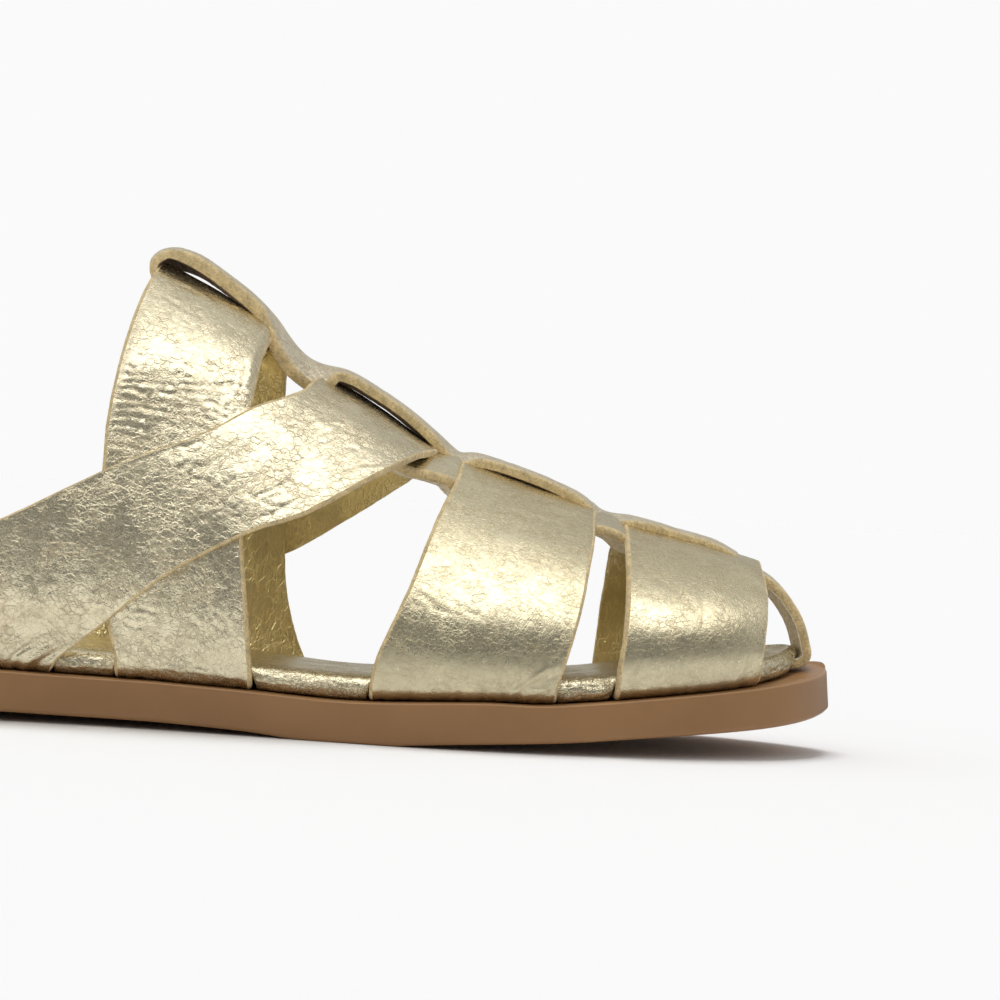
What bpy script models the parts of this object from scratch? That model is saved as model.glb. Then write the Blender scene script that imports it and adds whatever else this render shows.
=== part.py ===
"""Backless fisherman sandal for the right foot: thin rubber outsole, padded insole, and a
leather upper of four straps threaded through one centre strip.

Millimetres in the tables, metres in the scene. +X to the toe, -Y to the outer side, +Z up.
The tables are in the frame of the last. At the end everything is leaned back to stand with
its heel and forefoot on the floor.
"""

import math

import bmesh
import bpy
from mathutils import Matrix, Vector

MM = 0.001

# Driving sizes
INSOLE = 5.0  # thickness of the padded insole
RIM = 4.0  # from the outsole's edge in to the insole's edge
TOE_RIM = 6.8  # the same at the tip of the toe, where the centre strip comes down
STRAP = 1.8  # thickness of a strap
STRIP = 2.2  # thickness of the centre strip where it joins two straps
DRAFT = 0.5  # how far the outsole's wall leans in
CLEAR = 0.3  # gap between neighbouring pieces
WALL_GAP = 0.55  # from the insole's edge to the straps beside it
ROOM = 0.8  # room at the sides of a strap's foot
TAB = 9.0  # length of a strap's foot turned in under the insole

# How the last's frame leans when the sandal stands: degrees toe up, then a shift along and up
LEAN = 3.44
STAND_X = 0.45
STAND_Z = -1.42

# Outsole outline at stations along the foot: x, outer side y, inner side y
OUTLINE = (
    (-126.4, -11.5, 9.9),
    (-119.5, -21.8, 19.6),
    (-106.5, -29.2, 26.0),
    (-88.0, -32.2, 27.7),
    (-65.0, -32.2, 26.2),
    (-40.0, -31.6, 24.6),
    (-18.0, -33.6, 25.2),
    (3.0, -37.6, 28.4),
    (22.0, -41.6, 33.8),
    (40.0, -43.8, 39.4),
    (58.0, -43.4, 42.9),
    (74.0, -40.9, 44.0),
    (90.0, -36.6, 42.2),
    (104.0, -30.0, 37.8),
    (115.0, -21.8, 31.4),
    (123.0, -11.0, 23.6),
    (127.6, 0.8, 16.2),
)
HEEL_BACK = (-129.0, -0.8)
TOE_TIP = (129.0, 8.6)

# Underside of the outsole as it stands: x, height over the floor. It is flat at the heel and
# under the ball, and rises a little at the arch and more to the toe.
UNDERSIDE = (
    (-129.0, 0.0),
    (-113.0, 0.0),
    (-104.0, 0.6),
    (-96.0, 1.15),
    (-88.0, 1.5),
    (-75.0, 1.7),
    (-62.0, 1.95),
    (-53.0, 2.0),
    (-43.0, 1.85),
    (-22.0, 1.65),
    (-12.0, 1.35),
    (-1.0, 0.85),
    (9.0, 0.0),
    (28.0, 0.0),
    (34.0, 0.5),
    (40.0, 0.95),
    (50.0, 1.6),
    (60.0, 2.2),
    (69.0, 2.9),
    (76.0, 3.6),
    (88.6, 4.8),
    (102.0, 6.0),
    (110.0, 6.8),
    (117.6, 7.8),
    (122.4, 8.6),
    (129.0, 10.0),
)

# Top of the outsole along its outer side: x, z. Then how much it rises (or falls) from the
# outer side to the inner side, and the same rise for the insole: x, size
SOLE_TOP = (
    (-129.0, 18.0),
    (-110.0, 17.7),
    (-90.0, 17.1),
    (-75.0, 16.4),
    (-62.0, 15.9),
    (-53.0, 15.3),
    (-43.0, 14.45),
    (-32.0, 13.6),
    (-22.0, 12.9),
    (-12.0, 12.0),
    (-1.0, 11.0),
    (9.0, 9.9),
    (17.0, 9.2),
    (25.0, 8.9),
    (48.0, 8.75),
    (60.0, 8.1),
    (72.0, 8.4),
    (81.0, 8.9),
    (90.0, 9.4),
    (100.0, 9.95),
    (110.0, 10.6),
    (123.0, 12.0),
    (129.0, 12.9),
)
INNER_RISE = (
    (0.0, 0.0),
    (27.0, -0.8),
    (45.0, -1.1),
    (75.0, -1.1),
    (95.0, -0.3),
    (110.0, 0.5),
    (122.0, 1.1),
)
INSOLE_RISE = (
    (-70.0, 0.0),
    (-50.0, 0.7),
    (-20.0, 0.8),
    (5.0, 0.2),
    (27.0, -0.7),
    (45.0, -1.0),
    (75.0, -1.0),
    (95.0, -0.3),
    (112.0, 0.0),
)

# Sections of the last: x, ridge y, ridge z, crown radius,
# then for the outer and the inner side how far the wall bulges and how high its shoulder is
LAST = (
    (-110.0, 1.5, 106.0, 19.0, 9.0, 0.50, 7.0, 0.50),
    (-60.0, 1.5, 106.0, 19.0, 9.0, 0.50, 7.0, 0.50),
    (-30.0, 1.8, 104.6, 18.0, 8.0, 0.50, 7.0, 0.50),
    (-20.0, 2.0, 101.4, 17.0, 8.0, 0.50, 7.0, 0.50),
    (-13.0, 2.2, 97.8, 17.0, 8.0, 0.50, 7.0, 0.50),
    (-8.8, 2.4, 95.4, 17.0, 8.0, 0.50, 7.0, 0.50),
    (-4.4, 2.6, 92.3, 17.0, 8.0, 0.50, 7.0, 0.50),
    (0.0, 2.8, 88.7, 17.0, 8.0, 0.50, 7.0, 0.50),
    (5.0, 3.0, 84.0, 17.0, 8.5, 0.50, 7.5, 0.50),
    (10.0, 3.2, 79.8, 17.0, 8.5, 0.50, 7.5, 0.50),
    (15.0, 3.4, 76.8, 17.0, 9.0, 0.51, 8.0, 0.51),
    (21.1, 3.7, 73.6, 17.0, 9.0, 0.52, 8.0, 0.52),
    (27.8, 4.0, 69.2, 17.0, 9.0, 0.53, 8.0, 0.53),
    (36.7, 4.4, 62.8, 17.0, 9.5, 0.54, 8.0, 0.54),
    (45.2, 4.8, 58.8, 18.0, 10.0, 0.56, 8.5, 0.56),
    (54.0, 5.2, 55.7, 19.0, 10.0, 0.59, 8.5, 0.58),
    (63.0, 5.7, 52.4, 20.0, 10.0, 0.62, 9.0, 0.60),
    (72.6, 6.2, 48.6, 22.0, 10.0, 0.64, 9.0, 0.63),
    (82.0, 6.7, 44.5, 24.0, 10.0, 0.66, 9.0, 0.66),
    (94.0, 7.2, 41.2, 26.0, 10.0, 0.68, 9.0, 0.68),
    (98.4, 7.4, 40.1, 27.0, 10.0, 0.69, 9.0, 0.69),
    (107.3, 7.9, 37.1, 28.0, 10.0, 0.70, 9.0, 0.70),
    (113.5, 8.2, 34.9, 28.0, 9.0, 0.70, 8.5, 0.70),
    (120.0, 8.5, 31.0, 28.0, 8.0, 0.70, 8.0, 0.70),
)

# Edges of the straps, up the section from the sole (0) to the ridge (1):
# height, rear x and front x on the outer side, rear x and front x on the inner side
INSTEP_STRAP = (
    (0.00, -29.5, -0.5, -19.0, 12.0),
    (0.06, -31.0, -1.0, -20.5, 9.5),
    (0.15, -31.9, -1.7, -22.0, 7.5),
    (0.25, -32.3, -2.4, -23.5, 6.9),
    (0.40, -31.3, -2.3, -24.5, 6.6),
    (0.55, -28.4, -0.9, -24.0, 6.4),
    (0.70, -25.1, 0.5, -22.8, 6.6),
    (0.85, -22.2, 2.4, -21.4, 6.4),
    (1.00, -20.5, 4.4, -20.5, 4.4),
)
REAR_STRAP = (
    (0.00, -101.0, -41.0, -92.0, -29.0),
    (0.06, -91.0, -31.8, -82.0, -20.0),
    (0.15, -70.5, -18.2, -60.0, -6.5),
    (0.25, -45.8, -2.8, -35.5, 8.6),
    (0.40, -14.5, 15.8, -6.0, 24.0),
    (0.55, -0.3, 27.6, 6.0, 33.0),
    (0.70, 8.0, 34.6, 11.5, 38.0),
    (0.85, 9.9, 39.6, 11.5, 40.4),
    (1.00, 10.5, 41.2, 10.5, 41.2),
)
FOREFOOT_STRAP = (
    (0.00, 24.0, 63.3, 31.0, 70.0),
    (0.06, 25.4, 64.9, 32.5, 71.0),
    (0.15, 28.9, 66.9, 35.0, 72.0),
    (0.25, 32.4, 68.8, 37.5, 73.0),
    (0.40, 36.3, 70.9, 40.5, 74.0),
    (0.55, 40.0, 72.8, 43.0, 74.8),
    (0.70, 43.3, 73.9, 45.0, 75.3),
    (0.85, 44.8, 75.0, 46.0, 75.7),
    (1.00, 46.5, 76.0, 46.5, 76.0),
)
TOE_STRAP = (
    (0.00, 75.9, 108.4, 78.7, 110.4),
    (0.06, 76.4, 108.8, 79.4, 110.8),
    (0.15, 77.3, 109.2, 80.2, 111.3),
    (0.25, 78.1, 109.9, 80.8, 111.8),
    (0.40, 79.0, 110.9, 81.4, 112.4),
    (0.55, 79.8, 111.4, 81.5, 112.8),
    (0.70, 80.6, 111.8, 81.8, 113.0),
    (0.85, 81.2, 112.5, 81.8, 113.2),
    (1.00, 81.6, 113.2, 81.6, 113.2),
)

# How far the rear strap rides out over the instep strap: height on the section, lift
REAR_LIFT = ((0.0, 0.0), (0.05, 0.5), (0.10, 1.5), (0.62, 1.5), (0.75, 1.0), (0.90, 0.0), (1.0, 0.0))

# Heights of the rows of a strap's grid up one side of the section
ROWS = (0.0, 0.035, 0.075, 0.12, 0.17, 0.225, 0.285, 0.35, 0.42, 0.50, 0.585, 0.675, 0.775, 0.885, 1.0)

# A strap's foot below the section: inward from the wall, up from the outsole
FOOT = ((0.0, 3.0), (0.35, 2.5), (1.1, 2.2), (5.0, 2.2), (TAB, 2.2))

# Centre strip, outer face along its middle: x, z, crown radius across it, thickness,
# half width.
# It starts under the instep strap, folds back over it and runs to the toe strap.
CENTRE_STRIP = (
    (2.5, 83.8, 17.0, 2.7, 9.0),
    (-5.0, 90.3, 17.0, 2.7, 9.0),
    (-12.0, 95.0, 17.0, 2.8, 9.0),
    (-17.0, 97.9, 20.0, 3.0, 9.0),
    (-20.4, 99.2, 26.0, 2.5, 9.0),
    (-22.3, 100.4, 30.0, 2.0, 9.0),
    (-23.1, 102.4, 34.0, 2.0, 9.0),
    (-22.6, 104.3, 37.0, 2.0, 9.0),
    (-21.0, 105.7, 37.0, 2.0, 9.0),
    (-19.3, 106.4, 37.0, 2.0, 9.0),
    (-16.5, 106.5, 37.0, 2.5, 9.0),
    (-12.1, 105.1, 37.0, 3.0, 9.0),
    (-7.7, 102.3, 37.0, 3.0, 9.0),
    (-3.3, 99.0, 37.0, 3.0, 9.0),
    (1.2, 95.2, 37.0, 3.0, 9.0),
    (5.6, 90.4, 32.0, 2.8, 9.0),
    (8.4, 86.3, 28.0, 2.8, 9.0),
    (11.2, 83.1, 24.0, 2.4, 9.0),
    (14.5, 81.2, 20.0, 2.2, 9.0),
    (17.8, 80.4, 26.0, 2.2, 9.0),
    (21.1, 79.5, 32.0, 2.2, 9.0),
    (27.8, 75.6, 37.0, 2.2, 9.0),
    (32.2, 72.7, 37.0, 2.2, 9.0),
    (36.7, 69.2, 34.0, 2.2, 9.0),
    (41.4, 65.2, 26.0, 2.2, 9.0),
    (44.0, 62.7, 18.0, 2.2, 9.0),
    (45.7, 61.3, 16.0, 2.2, 9.0),
    (47.9, 61.4, 20.0, 2.2, 9.0),
    (50.1, 61.2, 26.0, 2.2, 9.0),
    (54.6, 59.9, 32.0, 2.2, 9.0),
    (63.5, 56.7, 34.0, 2.2, 9.0),
    (68.0, 54.7, 34.0, 2.2, 9.0),
    (72.5, 52.5, 30.0, 2.2, 9.0),
    (75.4, 50.3, 24.0, 2.2, 9.0),
    (77.4, 48.7, 19.0, 2.2, 9.0),
    (80.0, 47.8, 20.0, 2.2, 9.0),
    (83.0, 47.5, 26.0, 2.2, 9.0),
    (86.0, 46.9, 34.0, 2.2, 9.0),
    (90.5, 45.7, 38.0, 2.2, 9.0),
    (95.0, 44.3, 38.0, 2.2, 9.0),
    (99.6, 43.0, 36.0, 2.2, 9.0),
    (104.1, 41.4, 32.0, 2.2, 9.0),
    (108.0, 39.2, 30.0, 2.2, 9.0),
)

# Toe end of the centre strip, inner face along its middle, with the same columns.
# It leaves from under the toe strap and turns in under the insole.
TOE_STRIP = (
    (91.0, 40.2, 26.0, 2.2, 9.0),
    (100.0, 37.9, 27.0, 2.2, 9.0),
    (107.3, 35.3, 28.0, 2.2, 9.0),
    (111.5, 33.6, 30.0, 2.2, 8.8),
    (114.3, 32.0, 36.0, 2.2, 8.6),
    (116.6, 29.7, 44.0, 2.2, 8.4),
    (118.6, 27.0, 52.0, 2.2, 8.2),
    (120.4, 23.9, 60.0, 2.2, 8.0),
    (121.5, 20.8, 60.0, 2.2, 7.8),
    (122.1, 18.2, 60.0, 2.2, 7.7),
    (122.5, 16.2, 60.0, 2.2, 7.7),
    (122.3, 15.4, 60.0, 2.2, 7.7),
    (121.5, 15.0, 70.0, 2.2, 7.7),
    (118.0, 14.6, 90.0, 2.2, 7.7),
    (113.8, 14.2, 90.0, 2.2, 7.7),
)

# Middle line of the centre strip seen from above: x, y
STRIP_LINE = ((-24.0, 2.0), (0.0, 2.8), (45.0, 4.8), (82.0, 6.7), (113.0, 8.2), (124.0, 8.6))

# Wide part of the centre strip that lies inside the straps and shows at the two joints:
# x, height of its outer face over the last
JOINTS = (
    (30.0, 0.25),
    (38.0, 0.25),
    (41.5, 1.8),
    (44.5, 2.4),
    (46.6, 2.3),
    (49.5, 0.25),
    (72.8, 0.25),
    (76.2, 2.0),
    (79.0, 2.4),
    (81.6, 2.0),
    (85.0, 0.25),
    (95.0, 0.25),
)
JOINT_ROWS = 34
JOINT_EDGE = 0.665  # how far down the section it reaches
JOINT_SKEW = ((30.0, 5.5), (46.0, 4.5), (78.0, 1.4), (95.0, 0.6))  # x, how far its edges run back


def value_at(table, x, column=1):
    """Smooth value of a column of a table whose first column rises."""
    last = len(table) - 1
    if x <= table[0][0]:
        return table[0][column]
    if x >= table[last][0]:
        return table[last][column]
    row = max(i for i in range(last) if table[i][0] <= x)
    width = table[row + 1][0] - table[row][0]
    start, end = table[row][column], table[row + 1][column]
    if start == end:
        return start
    slopes = []
    for i in (row, row + 1):
        low, high = max(i - 1, 0), min(i + 1, last)
        slopes.append((table[high][column] - table[low][column]) / (table[high][0] - table[low][0]))
    u = (x - table[row][0]) / width
    rise = (3 - 2 * u) * u * u
    return (
        (1 - rise) * start
        + rise * end
        + ((u - 2) * u + 1) * u * slopes[0] * width
        + (u - 1) * u * u * slopes[1] * width
    )


def spline(points, steps, closed):
    """Points along a smooth curve through the given points, with this many steps to each span."""
    count = len(points)
    size = len(points[0])
    result = []
    for i in range(count if closed else count - 1):
        if closed:
            four = [points[(i + k) % count] for k in (-1, 0, 1, 2)]
        else:
            four = [points[min(max(i + k, 0), count - 1)] for k in (-1, 0, 1, 2)]
        gaps = [max(math.dist(four[k][:2], four[k + 1][:2]), 1e-3) ** 0.5 for k in range(3)]
        for j in range(steps):
            u = j / steps
            point = []
            for c in range(size):
                a, b, d, e = (p[c] for p in four)
                out = ((b - a) / gaps[0] - (d - a) / (gaps[0] + gaps[1]) + (d - b) / gaps[1]) * gaps[1]
                back = ((d - b) / gaps[1] - (e - b) / (gaps[1] + gaps[2]) + (e - d) / gaps[2]) * gaps[1]
                rise = (3 - 2 * u) * u * u
                point.append(
                    (1 - rise) * b + rise * d + ((u - 2) * u + 1) * u * out + (u - 1) * u * u * back
                )
            result.append(tuple(point))
    if not closed:
        result.append(tuple(points[-1]))
    return result


def resample(points, count):
    """The same curve as this many equal steps, by length over its first two numbers."""
    along = [0.0]
    for a, b in zip(points, points[1:]):
        along.append(along[-1] + math.dist(a[:2], b[:2]))
    result = []
    k = 0
    for i in range(count + 1):
        target = along[-1] * i / count
        while k < len(points) - 2 and along[k + 1] < target:
            k += 1
        u = (target - along[k]) / max(along[k + 1] - along[k], 1e-9)
        result.append(tuple(p + (q - p) * u for p, q in zip(points[k], points[k + 1])))
    return result


def outline():
    """The outsole's edge as a closed loop, from the back of the heel round the outer side."""
    outer = [(x, y) for x, y, _ in OUTLINE]
    inner = [(x, y) for x, _, y in reversed(OUTLINE)]
    return spline([HEEL_BACK] + outer + [TOE_TIP] + inner, 8, True)


def rim_at(x):
    u = min(max((x - 98.0) / 28.0, 0.0), 1.0)
    return RIM + (TOE_RIM - RIM) * u * u * (3 - 2 * u)


def inset(loop, distance):
    """A closed loop moved in by a distance, which can vary along the foot."""
    result = []
    for i, (x, y) in enumerate(loop):
        (ax, ay), (bx, by) = loop[i - 1], loop[(i + 1) % len(loop)]
        length = math.hypot(bx - ax, by - ay)
        gap = distance(x)
        result.append((x - (by - ay) / length * gap, y + (bx - ax) / length * gap))
    return result


def side_at(loop, x, side):
    """The loop's y at x, on the outer side (-1) or the inner side (+1)."""
    found = []
    for i, (x0, y0) in enumerate(loop):
        x1, y1 = loop[(i + 1) % len(loop)]
        if x0 != x1 and (x0 - x) * (x1 - x) <= 0:
            found.append(y0 + (y1 - y0) * (x - x0) / (x1 - x0))
    return min(found) if side < 0 else max(found)


SOLE_EDGE = outline()
INSOLE_EDGE = inset(SOLE_EDGE, rim_at)


def part_across(x, y):
    """How far y lies from the outsole's outer side (0) to its inner side (1)."""
    outer, inner = side_at(SOLE_EDGE, x, -1), side_at(SOLE_EDGE, x, 1)
    return (y - outer) / (inner - outer)


def sole_top(x, y):
    """Top of the outsole."""
    return value_at(SOLE_TOP, x) + part_across(x, y) * value_at(INNER_RISE, x)


def underside(x):
    """Underside of the outsole, in the frame of the last."""
    lean = math.radians(LEAN)
    return (value_at(UNDERSIDE, x) - STAND_Z - x * math.sin(lean)) / math.cos(lean)


def insole_top(x, y):
    return sole_top(x, y) + CLEAR + INSOLE + part_across(x, y) * value_at(INSOLE_RISE, x)


def wall_at(x, side):
    """The y where a strap's inner face stands beside the insole."""
    return side_at(INSOLE_EDGE, x, side) + side * WALL_GAP


def foot_level(x, side):
    """Top of the outsole at the foot of a strap."""
    return sole_top(x, wall_at(x, side))


def section(x, height, side):
    """(y, z) on the last, from the sole (height 0) to the ridge (height 1)."""
    ridge_y, ridge_z, radius = (value_at(LAST, x, c) for c in (1, 2, 3))
    bulge = value_at(LAST, x, 4 if side < 0 else 6)
    shoulder = value_at(LAST, x, 5 if side < 0 else 7)
    wall = wall_at(x, side)
    start = foot_level(x, side) + 4.0
    hip_z = start + shoulder * (ridge_z - start)
    reach = min((0.667 * (ridge_z - hip_z) * radius) ** 0.5, abs(ridge_y - wall) * 0.8)
    low = (1 - height) ** 3
    hip = 3 * height * (1 - height) ** 2
    brow = 3 * height**2 * (1 - height)
    top = height**3
    return (
        low * wall + hip * (wall + side * bulge) + brow * (ridge_y + side * reach) + top * ridge_y,
        low * start + hip * hip_z + (brow + top) * ridge_z,
    )


def last_point(x, height, side, lift=0.0):
    """A point on the last, moved out along its normal by a lift."""
    y, z = section(x, height, side)
    low, high = max(height - 0.002, 0.0), min(height + 0.002, 1.0)
    below, above = section(x, low, side), section(x, high, side)
    back, front = section(x - 0.3, height, side), section(x + 0.3, height, side)
    up = Vector((0.0, above[0] - below[0], above[1] - below[1]))
    along = Vector((0.6, front[0] - back[0], front[1] - back[1]))
    normal = along.cross(up) if side < 0 else up.cross(along)
    return Vector((x, y, z)) + normal.normalized() * lift


def sheet(name, across, along, place, collection):
    """A grid with each corner put where place(i, j) says, in millimetres."""
    bm = bmesh.new()
    bmesh.ops.create_grid(bm, x_segments=across, y_segments=along, size=1.0)
    for vert in bm.verts:
        i = round((vert.co.x + 1) / 2 * across)
        j = round((vert.co.y + 1) / 2 * along)
        vert.co = Vector(place(i, j)) * MM
    mesh = bpy.data.meshes.new(name)
    bm.to_mesh(mesh)
    bm.free()
    mesh.shade_smooth()
    obj = bpy.data.objects.new(name, mesh)
    collection.objects.link(obj)
    return obj


def thicken(obj, thickness, outward):
    solid = obj.modifiers.new("thickness", "SOLIDIFY")
    solid.thickness = thickness * MM
    solid.offset = 1.0 if outward else -1.0
    solid.use_even_offset = True
    solid.use_quality_normals = True


def strap(name, edges, lift, collection):
    """One strap from sole to sole over the last, its feet turned in under the insole."""
    rows = [(-1, None, k) for k in reversed(range(len(FOOT)))]
    rows += [(-1, h, None) for h in ROWS]
    rows += [(1, h, None) for h in reversed(ROWS[:-1])]
    rows += [(1, None, k) for k in range(len(FOOT))]
    columns = 6

    def place(i, j):
        side, height, step = rows[j]
        level = height or 0.0
        rear = value_at(edges, level, 1 if side < 0 else 3)
        front = value_at(edges, level, 2 if side < 0 else 4)
        x = rear + (front - rear) * i / columns
        if step is None:
            return last_point(x, height, side, value_at(lift, height))
        inward, up = FOOT[step]
        return x, wall_at(x, side) - side * inward, foot_level(x, side) + up

    obj = sheet(name, columns, len(rows) - 1, place, collection)
    thicken(obj, STRAP, True)
    return obj


def ribbon(name, path, steps, outward, collection):
    """A strip along a path of x, z, crown radius, thickness and half width, bent across its width."""
    line = resample(spline(path, 6, False), steps)
    columns = 4
    thickest = max(point[3] for point in line)

    def place(i, j):
        x, z, radius, _, half = line[j]
        ax, az = line[max(j - 1, 0)][:2]
        bx, bz = line[min(j + 1, steps)][:2]
        length = math.hypot(bx - ax, bz - az)
        normal_x, normal_z = -(bz - az) / length, (bx - ax) / length
        if not outward and x < 88.0 - z:
            turn = min(max((106.5 - z) / 7.0, 0.0), 1.0)
            normal_x, normal_z = normal_x + turn * (0.45 - normal_x), normal_z + turn * (0.89 - normal_z)
        offset = (1 - 2 * i / columns) * half
        drop = radius - math.sqrt(radius * radius - offset * offset)
        return x - normal_x * drop, value_at(STRIP_LINE, x) + offset, z - normal_z * drop

    obj = sheet(name, columns, steps, place, collection)
    thicken(obj, thickest, outward)
    group = obj.vertex_groups.new(name="thickness")
    for j, point in enumerate(line):
        row = range(j * (columns + 1), (j + 1) * (columns + 1))
        group.add(list(row), point[3] / thickest, "REPLACE")
    obj.modifiers["thickness"].vertex_group = "thickness"
    return obj


def joint_piece(collection):
    """The wide part of the centre strip, which follows the last under the straps."""
    columns = 10

    def place(i, j):
        part = 1 - 2 * i / columns
        side = -1 if part < 0 else 1
        height = 1 - abs(part) * (1 - JOINT_EDGE)
        x = JOINTS[0][0] + (JOINTS[-1][0] - JOINTS[0][0]) * j / JOINT_ROWS
        back = value_at(JOINT_SKEW, x) * abs(part)
        return last_point(x - back, height, side, value_at(JOINTS, x))

    obj = sheet("joint_piece", columns, JOINT_ROWS, place, collection)
    thicken(obj, STRIP, False)
    return obj


def plate(name, loop, stations, columns, low, high, draft, collection):
    """A plate with this edge, between two heights that vary along the foot."""
    start, end = min(x for x, _ in loop) + 0.25, max(x for x, _ in loop) - 0.25

    def place(i, j):
        turn = (1 - math.cos(math.pi * i / stations)) / 2
        even = i / stations
        x = start + (end - start) * (0.75 * turn + 0.25 * even)
        outer, inner = side_at(loop, x, -1), side_at(loop, x, 1)
        y = outer + (inner - outer) * j / columns
        return x, y, low(x, y)

    obj = sheet(name, stations, columns, place, collection)
    bm = bmesh.new()
    bm.from_mesh(obj.data)
    top = bmesh.ops.extrude_face_region(bm, geom=bm.faces[:])["geom"]
    for vert in top:
        if isinstance(vert, bmesh.types.BMVert):
            vert.co.z = high(vert.co.x / MM, vert.co.y / MM) * MM
            vert.co.x *= 1 - draft / 129.0
            vert.co.y *= 1 - draft / 44.0
    bmesh.ops.recalc_face_normals(bm, faces=bm.faces[:])
    bm.to_mesh(obj.data)
    bm.free()
    return obj


def round_edges(obj, width, segments, facing):
    """Bevels the rim of a plate on its top (facing 1) or its underside (facing -1)."""
    bm = bmesh.new()
    bm.from_mesh(obj.data)
    weight = bm.edges.layers.float.get("bevel_weight_edge") or bm.edges.layers.float.new("bevel_weight_edge")
    for edge in bm.edges:
        flat = [abs(face.normal.z) > 0.5 for face in edge.link_faces]
        up = sum(face.normal.z for face in edge.link_faces)
        if any(flat) and not all(flat) and up * facing > 0:
            edge[weight] = 1.0
        elif facing < 0 or edge[weight] != 1.0:
            edge[weight] = 0.0
    bm.to_mesh(obj.data)
    bm.free()
    bevel = obj.modifiers.new("rounding", "BEVEL")
    bevel.width = width * MM
    bevel.segments = segments
    bevel.limit_method = "WEIGHT"


def bar(name, rows, collection):
    """A closed bar lofted through rows of four corners, in millimetres."""
    bm = bmesh.new()
    rings = [[bm.verts.new(Vector(corner) * MM) for corner in row] for row in rows]
    for ring, following in zip(rings, rings[1:]):
        for k in range(4):
            bm.faces.new((ring[k], ring[(k + 1) % 4], following[(k + 1) % 4], following[k]))
    bm.faces.new(rings[0])
    bm.faces.new(list(reversed(rings[-1])))
    bmesh.ops.recalc_face_normals(bm, faces=bm.faces[:])
    mesh = bpy.data.meshes.new(name)
    bm.to_mesh(mesh)
    bm.free()
    obj = bpy.data.objects.new(name, mesh)
    collection.objects.link(obj)
    return obj


def foot_room(name, edges, side, collection):
    """The room a strap's foot takes under the insole, with its clearance."""
    rear = edges[0][1 if side < 0 else 3] - ROOM
    front = edges[0][2 if side < 0 else 4] + ROOM
    rows = []
    for k in range(7):
        x = rear + (front - rear) * k / 6
        wall = wall_at(x, side)
        outer, inner = wall + side * 3.0, wall - side * (TAB + ROOM)
        low, high = foot_level(x, side) - 2.0, foot_level(x, side) + 2.1 + 0.5
        rows.append(((x, outer, low), (x, outer, high), (x, inner, high), (x, inner, low)))
    return bar(name, rows, collection)


def toe_room(collection):
    """The room the centre strip's end takes under the insole at the toe."""
    half = TOE_STRIP[-1][4] + ROOM
    middle = value_at(STRIP_LINE, 124.0)
    rows = []
    for x in (113.0, 116.0, 119.0, 122.0, 127.0):
        low, high = sole_top(x, middle) - 2.0, sole_top(x, middle) + STRIP + 1.4
        rows.append(
            ((x, middle - half, low), (x, middle - half, high), (x, middle + half, high), (x, middle + half, low))
        )
    return bar("toe_room", rows, collection)


def boolean(obj, other, operation):
    modifier = obj.modifiers.new(operation.lower() + " " + other.name, "BOOLEAN")
    modifier.operation = operation
    modifier.object = other
    modifier.solver = "EXACT"


def as_helper(obj):
    obj.hide_render = True
    obj.display_type = "WIRE"


def material(name, color, roughness, metallic):
    made = bpy.data.materials.new(name)
    made.use_nodes = True
    shader = made.node_tree.nodes["Principled BSDF"]
    shader.inputs["Base Color"].default_value = (*color, 1.0)
    shader.inputs["Roughness"].default_value = roughness
    shader.inputs["Metallic"].default_value = metallic
    return made


def make_upper(parts, helpers):
    upper = ribbon("upper", CENTRE_STRIP, 80, False, parts)
    pieces = [
        joint_piece(helpers),
        strap("rear_strap", REAR_STRAP, REAR_LIFT, helpers),
        strap("instep_strap", INSTEP_STRAP, ((0.0, 0.0), (1.0, 0.0)), helpers),
        strap("forefoot_strap", FOREFOOT_STRAP, ((0.0, 0.0), (1.0, 0.0)), helpers),
        strap("toe_strap", TOE_STRAP, ((0.0, 0.0), (1.0, 0.0)), helpers),
        ribbon("toe_strip", TOE_STRIP, 26, True, helpers),
    ]
    for piece in pieces:
        as_helper(piece)
        boolean(upper, piece, "UNION")
    return upper


def make_insole(parts, helpers):
    insole = plate(
        "insole",
        INSOLE_EDGE,
        30,
        6,
        lambda x, y: sole_top(x, y) + CLEAR,
        insole_top,
        0.0,
        parts,
    )
    round_edges(insole, 1.9, 3, 1)
    for name, edges in (
        ("instep", INSTEP_STRAP),
        ("rear", REAR_STRAP),
        ("forefoot", FOREFOOT_STRAP),
        ("toe", TOE_STRAP),
    ):
        for side, word in ((-1, "outer"), (1, "inner")):
            room = foot_room(f"{name}_room_{word}", edges, side, helpers)
            as_helper(room)
            boolean(insole, room, "DIFFERENCE")
    room = toe_room(helpers)
    as_helper(room)
    boolean(insole, room, "DIFFERENCE")
    return insole


def make_outsole(parts):
    outsole = plate(
        "outsole", SOLE_EDGE, 40, 6, lambda x, y: underside(x), sole_top, DRAFT, parts
    )
    round_edges(outsole, 0.8, 2, -1)
    return outsole


def stand():
    """Leans every mesh back from the frame of the last to the way the sandal stands."""
    shift = Matrix.Translation(Vector((STAND_X, 0.0, STAND_Z)) * MM)
    lean = Matrix.Rotation(-math.radians(LEAN), 4, "Y")
    for obj in bpy.data.objects:
        obj.data.transform(shift @ lean)


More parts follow.
